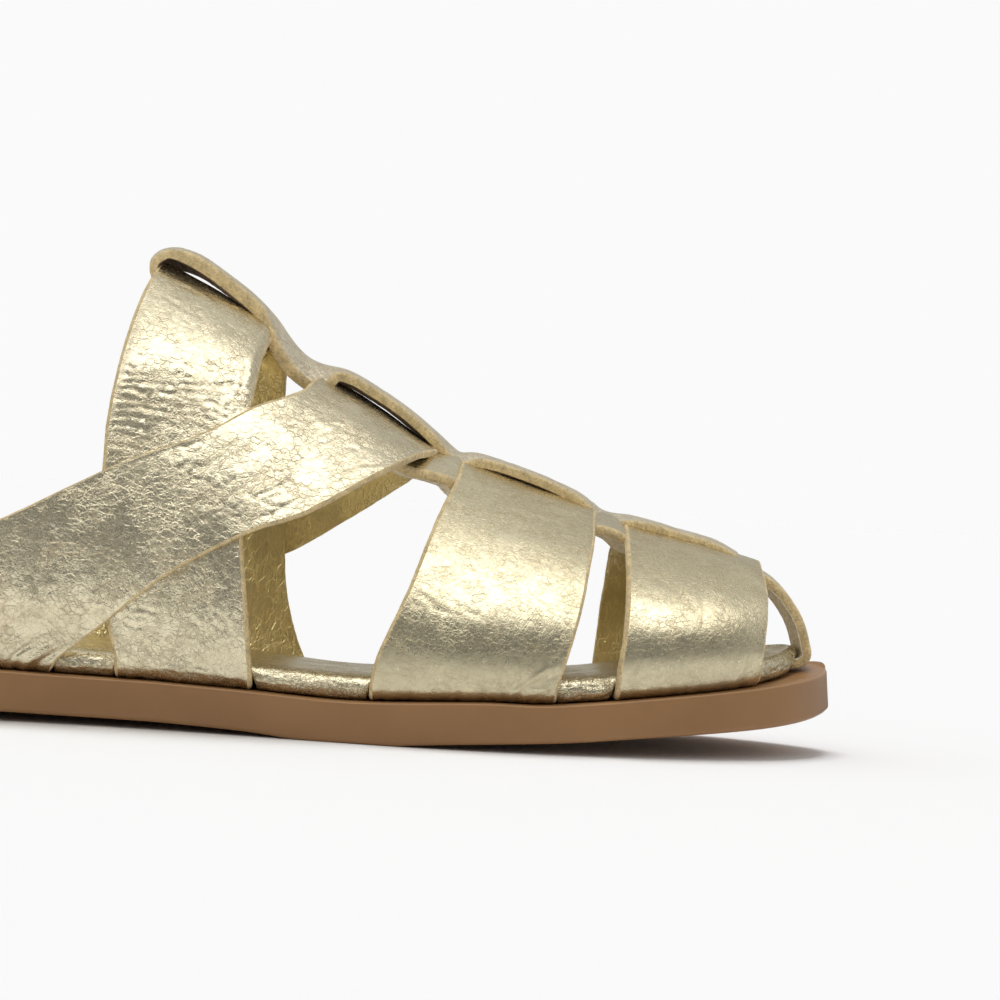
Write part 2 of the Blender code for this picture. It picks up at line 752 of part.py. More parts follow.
def main():
    for obj in list(bpy.data.objects):
        bpy.data.objects.remove(obj)
    scene = bpy.context.scene
    parts = bpy.data.collections.new("sandal")
    helpers = bpy.data.collections.new("helpers")
    scene.collection.children.link(parts)
    scene.collection.children.link(helpers)

    upper = make_upper(parts, helpers)
    insole = make_insole(parts, helpers)
    outsole = make_outsole(parts)
    stand()

    upper.data.materials.append(material("gold leather", (0.62, 0.55, 0.40), 0.34, 0.8))
    insole.data.materials.append(material("wrapped insole", (0.60, 0.54, 0.42), 0.45, 0.5))
    outsole.data.materials.append(material("tan rubber", (0.24, 0.13, 0.065), 0.6, 0.0))


main()
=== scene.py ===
"""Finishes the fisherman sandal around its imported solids: foil leather straps, a padded and
wrapped insole, a rubber outsole, and the stage.

Tables and shape functions work in millimetres in the frame of the last: +X to the toe, -Y to
the outer side, +Z up. stand() turns them to metres in the frame of the solids, in which the
sandal stands on its heel and forefoot.
"""

import math

import bpy
import numpy as np
from bpy.props import FloatProperty, FloatVectorProperty, PointerProperty
from mathutils import Matrix


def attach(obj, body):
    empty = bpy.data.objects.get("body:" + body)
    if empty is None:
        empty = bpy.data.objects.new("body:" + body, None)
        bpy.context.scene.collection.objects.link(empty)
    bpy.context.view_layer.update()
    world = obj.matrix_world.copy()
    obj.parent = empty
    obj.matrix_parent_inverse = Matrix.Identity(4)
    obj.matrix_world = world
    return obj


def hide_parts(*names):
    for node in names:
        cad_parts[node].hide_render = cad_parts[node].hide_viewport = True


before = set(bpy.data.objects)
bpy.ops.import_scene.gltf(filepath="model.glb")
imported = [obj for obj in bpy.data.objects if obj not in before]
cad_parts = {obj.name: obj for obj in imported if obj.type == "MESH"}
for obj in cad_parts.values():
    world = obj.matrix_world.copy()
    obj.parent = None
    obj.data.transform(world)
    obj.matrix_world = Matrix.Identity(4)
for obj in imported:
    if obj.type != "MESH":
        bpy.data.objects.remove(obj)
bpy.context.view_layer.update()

bl_info = {
    "name": "Fisherman sandal",
    "version": (1, 0, 0),
    "blender": (4, 5, 0),
    "location": "3D View > Sidebar > Sandal",
    "description": "Builds the straps, insole and outsole of a fisherman sandal, and its stage",
    "category": "Object",
}

MM = 0.001


# ---------------------------------------------------------------- tables


def table(text):
    """Rows of numbers. The first line of the text names the columns."""
    return [tuple(map(float, line.split())) for line in text.splitlines()[1:]]


# The outsole's outline: its y on both sides at stations along the foot
OUTLINE = table("""x outer inner
-126.4 -11.5 9.9
-119.5 -21.8 19.6
-106.5 -29.2 26
-88 -32.2 27.7
-65 -32.2 26.2
-40 -31.6 24.6
-18 -33.6 25.2
3 -37.6 28.4
22 -41.6 33.8
40 -43.8 39.4
58 -43.4 42.9
74 -40.9 44
90 -36.6 42.2
104 -30 37.8
115 -21.8 31.4
123 -11 23.6
127.6 0.8 16.2""")
HEEL_BACK = (-129.0, -0.8)
TOE_TIP = (129.0, 8.6)
# Underside of the outsole as it stands, flat at the heel and under the ball
UNDERSIDE = table("""x over_floor
-129 0
-113 0
-104 0.6
-96 1.15
-88 1.5
-75 1.7
-62 1.95
-53 2
-43 1.85
-22 1.65
-12 1.35
-1 0.85
9 0
28 0
34 0.5
40 0.95
50 1.6
60 2.2
69 2.9
76 3.6
88.6 4.8
102 6
110 6.8
117.6 7.8
122.4 8.6
129 10""")
# Top of the outsole along its outer side
SOLE_TOP = table("""x z
-129 18
-110 17.7
-90 17.1
-75 16.4
-62 15.9
-53 15.3
-43 14.45
-32 13.6
-22 12.9
-12 12
-1 11
9 9.9
17 9.2
25 8.9
48 8.75
60 8.1
72 8.4
81 8.9
90 9.4
100 9.95
110 10.6
123 12
129 12.9""")
# How much it rises from there to the inner side
INNER_RISE = table("""x rise
0 0
27 -0.8
45 -1.1
75 -1.1
95 -0.3
110 0.5
122 1.1""")
# The same for the insole
INSOLE_RISE = table("""x rise
-70 0
-50 0.7
-20 0.8
5 0.2
27 -0.7
45 -1
75 -1
95 -0.3
112 0""")
# Sections of the last: the ridge, its crown radius, and on the outer and the inner side how
# far the wall bulges and how high its shoulder is
LAST = table("""x ridge_y ridge_z crown bulge shoulder inner_bulge inner_shoulder
-110 1.5 106 19 9 0.5 7 0.5
-60 1.5 106 19 9 0.5 7 0.5
-30 1.8 104.6 18 8 0.5 7 0.5
-20 2 101.4 17 8 0.5 7 0.5
-13 2.2 97.8 17 8 0.5 7 0.5
-8.8 2.4 95.4 17 8 0.5 7 0.5
-4.4 2.6 92.3 17 8 0.5 7 0.5
0 2.8 88.7 17 8 0.5 7 0.5
5 3 84 17 8.5 0.5 7.5 0.5
10 3.2 79.8 17 8.5 0.5 7.5 0.5
15 3.4 76.8 17 9 0.51 8 0.51
21.1 3.7 73.6 17 9 0.52 8 0.52
27.8 4 69.2 17 9 0.53 8 0.53
36.7 4.4 62.8 17 9.5 0.54 8 0.54
45.2 4.8 58.8 18 10 0.56 8.5 0.56
54 5.2 55.7 19 10 0.59 8.5 0.58
63 5.7 52.4 20 10 0.62 9 0.6
72.6 6.2 48.6 22 10 0.64 9 0.63
82 6.7 44.5 24 10 0.66 9 0.66
94 7.2 41.2 26 10 0.68 9 0.68
98.4 7.4 40.1 27 10 0.69 9 0.69
107.3 7.9 37.1 28 10 0.7 9 0.7
113.5 8.2 34.9 28 9 0.7 8.5 0.7
120 8.5 31 28 8 0.7 8 0.7""")
# Edges of the straps (x), up the section from the sole (height 0) to the ridge (1)
INSTEP_STRAP = table("""height outer_rear outer_front inner_rear inner_front
0 -29.5 -0.5 -19 12
0.06 -31 -1 -20.5 9.5
0.15 -31.9 -1.7 -22 7.5
0.25 -32.3 -2.4 -23.5 6.9
0.4 -31.3 -2.3 -24.5 6.6
0.55 -28.4 -0.9 -24 6.4
0.7 -25.1 0.5 -22.8 6.6
0.85 -22.2 2.4 -21.4 6.4
1 -20.5 4.4 -20.5 4.4""")
REAR_STRAP = table("""height outer_rear outer_front inner_rear inner_front
0 -101 -41 -92 -29
0.06 -91 -31.8 -82 -20
0.15 -70.5 -18.2 -60 -6.5
0.25 -45.8 -2.8 -35.5 8.6
0.4 -14.5 15.8 -6 24
0.55 -0.3 27.6 6 33
0.7 8.6 34.6 12 38
0.85 12.6 39.6 14.6 40.4
1 16.6 41.2 16.6 41.2""")
FOREFOOT_STRAP = table("""height outer_rear outer_front inner_rear inner_front
0 24 63.3 31 70
0.06 25.4 64.9 32.5 71
0.15 28.9 66.9 35 72
0.25 32.4 68.8 37.5 73
0.4 36.3 70.9 40.5 74
0.55 40 72.8 43 74.8
0.7 43.3 73.9 45 75.3
0.85 44.8 75 46 75.7
1 46.5 76 46.5 76""")
TOE_STRAP = table("""height outer_rear outer_front inner_rear inner_front
0 75.9 108.4 78.7 110.4
0.06 76.4 108.8 79.4 110.8
0.15 77.3 109.2 80.2 111.3
0.25 78.1 109.9 80.8 111.8
0.4 79 110.9 81.4 112.4
0.55 79.8 111.4 81.5 112.8
0.7 80.6 111.8 81.8 113
0.85 81.2 112.5 81.8 113.2
1 81.6 113.2 81.6 113.2""")
# How far the rear strap rides out over the instep strap
REAR_LIFT = table("""height lift
0 0
0.05 0.5
0.1 1.5
0.62 1.5
0.75 1
0.9 0
1 0""")
# Outer face of the centre strip along its middle. It starts under the instep strap, folds back
# over it and runs to the toe strap
CENTRE_STRIP = table("""x z crown thickness half_width
2.5 83.8 17 2.7 9
-5 90.3 17 2.7 9
-12 95 17 2.8 9
-17 97.9 20 3 9
-20.4 99.2 26 2.5 9
-22.3 100.4 30 2 9
-23.1 102.4 34 2 9
-22.6 104.3 37 2 9
-21 105.7 37 2 9
-19.3 106.4 37 2 9
-16.5 106.5 37 2.5 9
-12.1 105.1 37 3 9
-7.7 102.3 37 3 9
-3.3 99 37 3 9
1.2 95.2 37 3 9
5.6 90.4 32 2.8 9
8.4 86.3 28 2.8 9
11.2 83.1 24 2.4 9
14.5 81.2 20 2.2 9
17.8 80.4 26 2.2 9
21.1 79.5 32 2.2 9
27.8 75.6 37 2.2 9
32.2 72.7 37 2.2 9
36.7 69.2 34 2.2 9
41.4 65.2 26 2.2 9
44 62.7 18 2.2 9
45.7 61.3 16 2.2 9
47.9 61.4 20 2.2 9
50.1 61.2 26 2.2 9
54.6 59.9 32 2.2 9
63.5 56.7 34 2.2 9
68 54.7 34 2.2 9
72.5 52.5 30 2.2 9
75.4 50.3 24 2.2 9
77.4 48.7 19 2.2 9
80 47.8 20 2.2 9
83 47.5 26 2.2 9
86 46.9 34 2.2 9
90.5 45.7 38 2.2 9
95 44.3 38 2.2 9
99.6 43 36 2.2 9
104.1 41.4 32 2.2 9
108 39.2 30 2.2 9""")
# Inner face of its toe end, from under the toe strap to where it turns in under the insole
TOE_STRIP = table("""x z crown thickness half_width
91 40.2 26 2.2 9
100 37.9 27 2.2 9
107.3 35.3 28 2.2 9
111.5 33.6 30 2.2 8.8
114.3 32 36 2.2 8.6
116.6 29.7 44 2.2 8.4
118.6 27 52 2.2 8.2
120.4 23.9 60 2.2 8
121.5 20.8 60 2.2 7.8
122.1 18.2 60 2.2 7.7
122.5 16.2 60 2.2 7.7
122.3 15.4 60 2.2 7.7
121.5 15 70 2.2 7.7
118 14.6 90 2.2 7.7
113.8 14.2 90 2.2 7.7""")
# Middle line of the centre strip seen from above
STRIP_LINE = table("""x y
-24 2
0 2.8
45 4.8
82 6.7
113 8.2
124 8.6""")
# Height over the last of the strip's wide part, which shows at the two joints
JOINTS = table("""x lift
30 0.25
38 0.25
41.5 1.8
44.5 2.4
46.6 2.3
49.5 0.25
72.8 0.25
76.2 2
79 2.4
81.6 2
85 0.25
95 0.25""")
JOINT_EDGE = 0.665
# How far back the edges of that part run
JOINT_SKEW = table("""x back
30 5.5
46 4.5
78 1.4
95 0.6""")
# Folds listed for the outer side of each strap: both ends, how far the middle bows out,
# half width, and height over the leather (a trough's is negative)
INSTEP_FOLDS = table("""x0 z0 x1 z1 bow half_width height
-28.6 81 -20.1 79.6 0.3 0.55 -0.22
-27.8 83.4 -22.3 81.3 0.2 0.5 -0.22
-19.1 79.8 -12.1 77.3 0.3 0.55 -0.2
-28.8 79.1 -24.7 78.1 0.1 0.45 -0.18
-29.4 77.4 -20.1 76.8 -0.2 0.5 -0.22
-20.5 77 -11.6 76 0.2 0.5 -0.18
-29.6 75.7 -18.4 74.7 0.3 0.5 -0.23
-18.8 74.9 0.3 73.9 0.4 0.5 -0.17
-30 74.4 -22.2 73 0.2 0.5 -0.22
-22.2 73.2 -10.1 72.8 0.3 0.5 -0.17
-30.2 72.7 -23.8 71.7 0.1 0.5 -0.22
-24.3 71.9 -11.6 69.6 0.3 0.55 -0.22
-21.8 74.2 -13.3 71.3 0.3 0.45 -0.17
-30.1 70.8 -16.9 68.9 0.4 0.55 -0.23
-17.1 69.3 -8.2 67.2 0.2 0.55 -0.2
-30.5 69.1 -22.1 67.6 0.2 0.5 -0.22
-22.3 68.1 -15 66.2 0.1 0.5 -0.2
-30.9 67.2 -22.1 65.5 0.3 0.5 -0.22
-31.3 65.1 -22.9 63.2 0.2 0.5 -0.2
-31.5 63 -24.2 61.5 0.1 0.5 -0.18
-10.6 75.6 -1 74.1 0.2 0.4 -0.13
-12 71.9 -4.8 69.6 0.2 0.5 -0.17
-9.5 70 -5.3 67.9 0 0.5 -0.16
-13.7 67 -8.6 64.7 0.1 0.5 -0.14
-4.9 77.1 -5.9 72.2 0.3 0.4 -0.2
-2.7 79.4 -4 71.7 0.3 0.4 -0.2
-1 81.1 -1.9 73 0.2 0.4 -0.16
-7 75.6 -7.4 71.9 0.1 0.4 -0.14
-23.7 90.5 -22.8 87.2 0.5 0.45 -0.16
-24.7 87.8 -23.8 86.3 0 0.5 -0.16
-19.6 85.2 -19.1 80.5 0.2 0.4 -0.14
-16.8 84.8 -16.3 80.9 -0.2 0.4 -0.12
-16.2 97.9 -11.4 94.8 0 0.6 -0.2
-17.5 99 -8.9 93.8 0.2 0.5 0.18
-14.1 97.5 -6.7 92.8 0 0.6 -0.16
-20.4 95 -15.6 91.5 0.2 0.6 -0.14
-9.4 37.3 -10.3 31.8 0.2 0.45 -0.2
-6.9 38.2 -7.8 29.3 0.2 0.45 -0.2
-4.6 36.9 -5.4 31.9 0.2 0.45 -0.18
-6.1 25.5 -10.3 19.6 0.2 0.5 -0.18
-8.6 24.3 -10.9 21.3 0 0.5 -0.16
-13.7 23.8 -16.6 19.1 0.3 0.5 -0.14
-22.1 24.6 -28.4 25.5 0.2 0.5 -0.2
-20 27.6 -26.7 28.8 0.2 0.5 -0.2
-27.6 22.5 -20 17 0.6 0.8 -0.25
-28 19.1 -22.1 15.3 0.5 0.7 0.28
-22.1 15.7 -10.5 14.9 0.3 0.6 0.3
-21.7 14.4 -8.4 13.4 0.3 0.5 -0.28
-13.7 14.7 -1.9 13.5 0.3 0.55 0.3
-8.6 12.8 -1.1 12.2 0.2 0.5 -0.28
-28.4 15.7 -22.2 13.9 0.2 0.6 -0.25""")
REAR_FOLDS = table("""x0 z0 x1 z1 bow half_width height
-50 15.6 -40.6 21 0.5 0.6 0.51
-47.5 15.4 -38.1 20.4 0.5 0.56 -0.51
-44.7 15.4 -38.1 16.7 0.5 0.56 0.51
-42 15.4 -36.8 15.8 0.4 0.48 -0.41
-52.9 16.3 -44.8 21.7 0.5 0.64 -0.49
-55.3 17.2 -47.7 23 0.5 0.64 0.41
-57.8 18.3 -51 25.1 0.5 0.72 -0.41
-60.7 19.6 -54.2 28.1 0.6 0.8 0.3
-32.5 38.2 -36.1 29.7 0.8 1.2 -0.42
-30.8 35.7 -34.2 26.8 0.8 1.6 0.44
-36.1 30.2 -33.8 25.5 0.5 1 -0.26
-40.8 39.4 -43 30.2 0.5 0.9 -0.21
-45.4 38.6 -47.6 29.3 0.4 0.9 -0.21
-50 37.4 -52.6 27.7 0.4 0.9 -0.18
-32 44.1 -29.5 41.5 0 0.4 -0.14
-23 49.5 -19.7 44.5 0 0.4 -0.08
-40.8 49.5 -37.9 45.5 0 0.4 -0.07
-22 42 -18.6 37.3 0 0.4 -0.14
-14.4 43.2 -13.6 39.5 0 0.4 -0.12
-1 61.3 10.9 64.3 0.4 0.5 -0.11
-1 51 9.9 55.8 0.4 0.55 -0.2
2.7 48.5 18.4 53.3 0.5 0.55 -0.21
9.5 49.9 20.5 53.7 0.3 0.5 -0.18
-0.2 46.8 9.9 50.1 0.3 0.5 -0.18
9.5 56.2 19.6 59.6 0.4 0.5 -0.18
11.6 52.6 22.6 54.7 0.3 0.5 -0.18
18 57.3 27.1 59.2 0.3 0.5 -0.17
-1.5 55.6 7.8 57.5 0.3 0.45 -0.15
9.6 66.9 3.6 68.1 0.2 0.45 -0.12
1.5 62.6 6.2 63 0.1 0.4 -0.12
7.4 59.2 15.9 61.3 0.2 0.45 -0.15
9.2 72.3 18.7 68.4 0.2 0.55 -0.15
11.4 70.3 20.8 65.4 0.2 0.55 -0.17
15.6 67.3 25.1 63.7 0.2 0.55 -0.15
20.3 63.9 29.4 60.5 0.1 0.5 -0.12
13.6 73 22.7 69.6 0.2 0.5 -0.09
-10.7 63.8 -6.5 67.2 0.2 0.6 -0.17
-6.9 67 -1.9 70.3 0.2 0.6 -0.12
-8.6 61.3 -3.1 63.8 0.2 0.5 -0.12""")
FOREFOOT_FOLDS = table("""x0 z0 x1 z1 bow half_width height
44.1 45.2 42.5 39.4 0.2 0.45 -0.24
42.3 39.6 41 35.2 0.1 0.4 -0.18
57.8 37.8 56.2 31.9 0.1 0.45 -0.22
44.7 44.3 43.1 38.5 0.2 0.5 0.1
61.4 16 64 18.7 0.1 0.55 -0.28
58.4 11.1 64.4 15.3 0.3 0.7 -0.32
57.3 12.6 63.1 17.5 0.3 0.8 0.24
54.8 9.7 61.9 14.3 0.3 0.65 -0.3
59.9 10.3 65.8 14.7 0.2 0.6 0.24
57.2 8.9 64.6 12.2 0.3 0.6 -0.28
52.9 11 56.8 13.7 0.1 0.6 -0.16
52.4 9.2 55.4 11.4 0.1 0.6 0.18
32.2 32.8 39 27.6 0.3 0.7 -0.18
31.1 30.7 36.9 27 0.2 0.6 -0.14
32.8 33.6 40.3 28.9 0.2 0.6 0.1
34.4 29.5 42.7 26.6 0.1 0.7 -0.12
52.4 51 73.3 45.9 0.3 0.5 -0.08
50 49.5 71.7 44.2 0.3 0.5 -0.08
46 49.7 61.7 46.5 0.2 0.5 -0.08
56.5 44.6 72.3 41.3 0.2 0.5 -0.07
47.1 41 47.7 36.9 0.1 0.45 -0.12
52.8 39.3 57.9 36.4 0.2 0.5 -0.12
60.3 38.4 64.3 34.7 0.2 0.5 -0.12
41.1 29.5 47.3 26.1 0.2 0.8 -0.12""")
TOE_FOLDS = table("""x0 z0 x1 z1 bow half_width height
82.6 37.5 85.6 35.4 0 0.5 -0.1
83.6 36.8 88.3 33.9 0.1 0.5 0.08
91.3 29.7 91.1 25.2 0.1 0.5 -0.12
95.9 28.4 94.8 23 0.1 0.5 -0.12
105 30.2 108.6 28 0.1 0.5 -0.1
85.7 27.4 85 22.8 0.1 0.5 -0.1
100.9 29.1 99.5 24.6 0.1 0.5 -0.1
80.1 18.5 85.8 19.4 0.2 0.7 -0.14
81 17 79.8 14.9 0 0.5 -0.1
77.3 11 83.4 11.8 0.1 0.6 -0.1
103.2 21.1 109.1 19.5 0.2 0.6 -0.1""")

# How the last's frame leans when the sandal stands: degrees toe up, then a shift along and up
LEAN = 3.44
STAND_X = 0.45
STAND_Z = -1.42

# Camera in the last's frame: place in metres, turn about Z and tilt about X in degrees
CAMERA_PLACE = (0.0, -0.75, 0.059)
CAMERA_TURN = -4.135
CAMERA_TILT = 89.372

# Light from all round, and the overhead light in W/m2. Together they bring the floor to white
FILL_LIGHT = 0.55
KEY_LIGHT = 1.45

REAR_CROSSING = 1.3  # how many times higher the rear strap rides than its table says
REAR_SLANT = 1.0  # how far its outer foot slants back for each millimetre that it drops
SHOULDER = (82.0, 11.5)  # height and half width of the swell over the instep strap's shoulder
FOLD_DIP = 1.4  # how far the inner side of the centre strip sinks where it folds back
STRIP_SAG = (6.5, 14.5, 4.2, 2.0)  # where its outer side hangs lower: x from, to, down, out
FOOT_BEND = 1.2  # radius a strap's inner face turns under the insole with
FOOT_START = 4.0  # height over the outsole where the last's surface starts
FOOT_DROP = 0.9  # how far down from there a strap starts to turn
FOOT_LENGTH = 9.0  # how far the foot reaches in
FOOT_ARC = FOOT_BEND * math.pi / 2
CLEAR = 0.3  # gap between neighbouring pieces
WALL_GAP = 0.55  # from the insole's edge to the straps beside it
RIM = 4.0  # from the outsole's edge in to the insole's edge
TOE_RIM = 6.8  # the same at the tip of the toe
OUTER, INNER = -1, 1  # the two sides of the foot
SIDES = ((OUTER, 1, 2), (INNER, 3, 4))  # with the columns of the strap tables


# ---------------------------------------------------------------- curves and noise


def bend(a, b, out, back, u):
    """From a (u = 0) to b (u = 1) on a curve with these slopes at its ends."""
    rise = (3 - 2 * u) * u * u
    return (1 - rise) * a + rise * b + ((u - 2) * u + 1) * u * out + (u - 1) * u * u * back


def smooth(rows, x, column=1):
    """Smooth values of one column of a table, whose first column rises."""
    rows = np.asarray(rows, float)
    xs, ys = rows[:, 0], rows[:, column]
    low = np.maximum(np.arange(len(xs)) - 1, 0)
    high = np.minimum(np.arange(len(xs)) + 1, len(xs) - 1)
    slopes = (ys[high] - ys[low]) / (xs[high] - xs[low])
    x = np.clip(x, xs[0], xs[-1])
    i = np.clip(np.searchsorted(xs, x, side="right") - 1, 0, len(xs) - 2)
    width = xs[i + 1] - xs[i]
    between = bend(ys[i], ys[i + 1], slopes[i] * width, slopes[i + 1] * width, (x - xs[i]) / width)
    return np.where(ys[i] == ys[i + 1], ys[i], between)


def spline(points, steps, closed):
    """Points along a smooth curve through the given points, with this many steps to each span."""
    points = np.asarray(points, float)
    count = len(points)
    u = (np.arange(steps) / steps)[:, None]
    result = []
    for i in range(count if closed else count - 1):
        near = [i + k for k in (-1, 0, 1, 2)]
        a, b, c, d = (points[n % count if closed else min(max(n, 0), count - 1)] for n in near)
        before, gap, after = (max(math.dist(p[:2], q[:2]), 1e-3) ** 0.5 for p, q in ((a, b), (b, c), (c, d)))
        out = ((b - a) / before - (c - a) / (before + gap) + (c - b) / gap) * gap
        back = ((c - b) / gap - (d - b) / (gap + after) + (d - c) / after) * gap
        result.append(bend(b, c, out, back, u))
    return np.concatenate(result if closed else result + [points[-1:]])


def lengths(points):
    """How far along a line each of its points lies."""
    return np.concatenate([[0.0], np.cumsum(np.linalg.norm(np.diff(points, axis=0), axis=-1))])


def blend(x, low, high):
    """0 below low, 1 above high, and a soft step between them."""
    u = np.clip((x - low) / (high - low), 0.0, 1.0)
    return u * u * (3 - 2 * u)


def window(x, low, high, soft):
    """1 from low to high, and a soft step down to 0 on both sides."""
    return blend(x, low - soft, low) * (1 - blend(x, high, high + soft))


def noise(points, size, seed):
    """Smooth noise from -1 to 1 whose bumps have this size, at (..., 3) points."""
    rng = np.random.default_rng(seed)
    order = np.tile(rng.permutation(256), 3)
    gradients = rng.normal(size=(256, 3))
    gradients /= np.linalg.norm(gradients, axis=1)[:, None]
    p = np.asarray(points, float) / size
    cell = np.floor(p).astype(int)
    f = p - cell
    w = f * f * f * (f * (f * 6 - 15) + 10)
    total = 0.0
    for corner in np.ndindex(2, 2, 2):
        i, j, k = (cell[..., axis] + corner[axis] & 255 for axis in range(3))
        g = gradients[order[order[order[i] + j] + k]]
        share = np.where(corner, w, 1 - w)
        reach = sum(g[..., axis] * (f[..., axis] - corner[axis]) for axis in range(3))
        total = total + reach * share[..., 0] * share[..., 1] * share[..., 2]
    return total * 1.6


def furrows(points, size, seed):
    """Furrows between smooth pads of this size: 0 on the pads, 1 in the furrows."""
    one, two = noise(points, size, seed), noise(points, size * 0.8, seed + 1)
    return np.exp(-((one / 0.16) ** 2)) * 0.6 + np.exp(-((two / 0.13) ** 2)) * 0.5


# ---------------------------------------------------------------- the shape of the sandal


def inset(loop, distance):
    """A closed loop moved in by a distance, which can vary along it."""
    along = np.roll(loop, -1, axis=0) - np.roll(loop, 1, axis=0)
    along /= np.linalg.norm(along, axis=1)[:, None]
    return loop + np.stack([-along[:, 1], along[:, 0]], axis=1) * np.reshape(distance, (-1, 1))


def side_at(loop, x, side):
    """The loop's y at x, on one side of the foot."""
    turned = np.roll(loop, -int(np.argmin(loop[:, 0])), axis=0)
    tip = int(np.argmax(turned[:, 0]))
    part = turned[: tip + 1] if side == OUTER else np.concatenate([turned[tip:], turned[:1]])[::-1]
    return np.interp(x, part[:, 0], part[:, 1])


SOLE_EDGE = spline(
    [HEEL_BACK] + [row[:2] for row in OUTLINE] + [TOE_TIP] + [row[::2] for row in OUTLINE[::-1]], 8, True
)
INSOLE_EDGE = inset(SOLE_EDGE, RIM + (TOE_RIM - RIM) * blend(SOLE_EDGE[:, 0], 98.0, 126.0))


def part_across(x, y):
    """How far y lies from the outsole's outer side (0) to its inner side (1)."""
    outer, inner = side_at(SOLE_EDGE, x, OUTER), side_at(SOLE_EDGE, x, INNER)
    return (y - outer) / np.maximum(inner - outer, 1.0)


def sole_top(x, y):
    """Top of the outsole."""
    return smooth(SOLE_TOP, x) + part_across(x, y) * smooth(INNER_RISE, x)


def underside(x):
    """Underside of the outsole, in the frame of the last."""
    lean = math.radians(LEAN)
    return (smooth(UNDERSIDE, x) - STAND_Z - x * math.sin(lean)) / math.cos(lean)


def insole_top(x, y, thickness):
    return sole_top(x, y) + CLEAR + thickness + part_across(x, y) * smooth(INSOLE_RISE, x)


def wall_at(x, side):
    """The y where a strap's inner face stands beside the insole."""
    return side_at(INSOLE_EDGE, x, side) + side * WALL_GAP


def section(x, height, side):
    """(y, z) on the last, from the sole (height 0) to the ridge (height 1)."""
    ridge_y, ridge_z, radius = (smooth(LAST, x, c) for c in (1, 2, 3))
    bulge, shoulder = (smooth(LAST, x, c if side == OUTER else c + 2) for c in (4, 5))
    wall = wall_at(x, side)
    start = sole_top(x, wall) + FOOT_START
    hip_z = start + shoulder * (ridge_z - start)
    reach = np.minimum(np.sqrt(0.667 * (ridge_z - hip_z) * radius), np.abs(ridge_y - wall) * 0.8)
    low, hip = (1 - height) ** 3, 3 * height * (1 - height) ** 2
    brow, top = 3 * height**2 * (1 - height), height**3
    y = low * wall + hip * (wall + side * bulge) + brow * (ridge_y + side * reach) + top * ridge_y
    return y, low * start + hip * hip_z + (brow + top) * ridge_z


def last_points(x, height, side, lift):
    """Points on the last, moved out along its normal by a lift."""
    y, z = section(x, height, side)
    low, high = (section(x, np.clip(height + step, 0.0, 1.0), side) for step in (-0.002, 0.002))
    rear, front = (section(x + step, height, side) for step in (-0.3, 0.3))
    up = np.stack([np.zeros_like(y), high[0] - low[0], high[1] - low[1]], axis=-1)
    along = np.stack([np.full_like(y, 0.6), front[0] - rear[0], front[1] - rear[1]], axis=-1)
    normal = np.cross(along, up) * -side
    normal /= np.linalg.norm(normal, axis=-1)[..., None]
    return np.stack([x, y, z], axis=-1) + normal * np.asarray(lift)[..., None]


def stand(points):
    """Points of the last's frame where they are when the sandal stands, in metres."""
    lean = math.radians(LEAN)
    x, y, z = np.moveaxis(points, -1, 0)
    ahead = x * math.cos(lean) - z * math.sin(lean) + STAND_X
    return MM * np.stack([ahead, y, x * math.sin(lean) + z * math.cos(lean) + STAND_Z], axis=-1)


def surface(points, passes):
    """A grid of points, drawn together a little along its second axis to round kinks, and its
    unit normals, which point up at the grid's highest place."""
    for _ in range(passes):
        middle = (points[:, :-2] + 2 * points[:, 1:-1] + points[:, 2:]) / 4
        points = np.concatenate([points[:, :1], middle, points[:, -1:]], axis=1)
    normal = np.cross(np.gradient(points, axis=1), np.gradient(points, axis=0))
    normal /= np.maximum(np.linalg.norm(normal, axis=-1), 1e-9)[..., None]
    row = len(points) // 2
    return points, normal * np.sign(normal[row, np.argmax(points[row, :, 2]), 2])


def strokes(points, folds):
    """Height that the listed folds add."""
    x = points[..., 0] + 0.35 * noise(points, 3.0, 93)
    z = points[..., 2] + 0.55 * noise(points, 3.4, 91) + 0.15 * noise(points, 1.5, 95)
    uneven = 0.75 + 0.5 * noise(points, 4.0, 97)
    total = np.zeros(x.shape)
    for x0, z0, x1, z1, bow, width, height in folds:
        dx, dz = x1 - x0, z1 - z0
        length = math.hypot(dx, dz)
        part = ((x - x0) * dx + (z - z0) * dz) / length**2
        inside = np.clip(part, 0.0, 1.0)
        away = ((z - z0) * dx - (x - x0) * dz) / length - bow * 4 * inside * (1 - inside)
        beyond = np.abs(part - inside) * length
        fade = window(inside, 0.25, 0.75, 0.25) * 0.75 + 0.25
        q = (away**2 + beyond**2) / width**2
        total += height * fade * (np.exp(-q) - 0.35 * np.exp(-q / 4.0))
    return total * uneven


# ---------------------------------------------------------------- meshes


def add_mesh(name, points, faces, materials):
    mesh = bpy.data.meshes.new(name)
    mesh.from_pydata(points.tolist(), [], faces)
    for material in materials:
        mesh.materials.append(material)
    piece = bpy.data.objects.new(name, mesh)
    bpy.context.scene.collection.objects.link(piece)
    return piece


def quads(rows, columns, close_rows=False, close_columns=False):
    """Quads of a grid of points, row after row. Either way the grid can close into a ring."""
    counts = np.arange(rows - (not close_rows)), np.arange(columns - (not close_columns))
    r, c = np.meshgrid(*counts, indexing="ij")
    down, right = (r + 1) % rows * columns, (c + 1) % columns
    r = r * columns
    return np.stack([r + c, down + c, down + right, r + right], axis=-1).reshape(-1, 4).tolist()


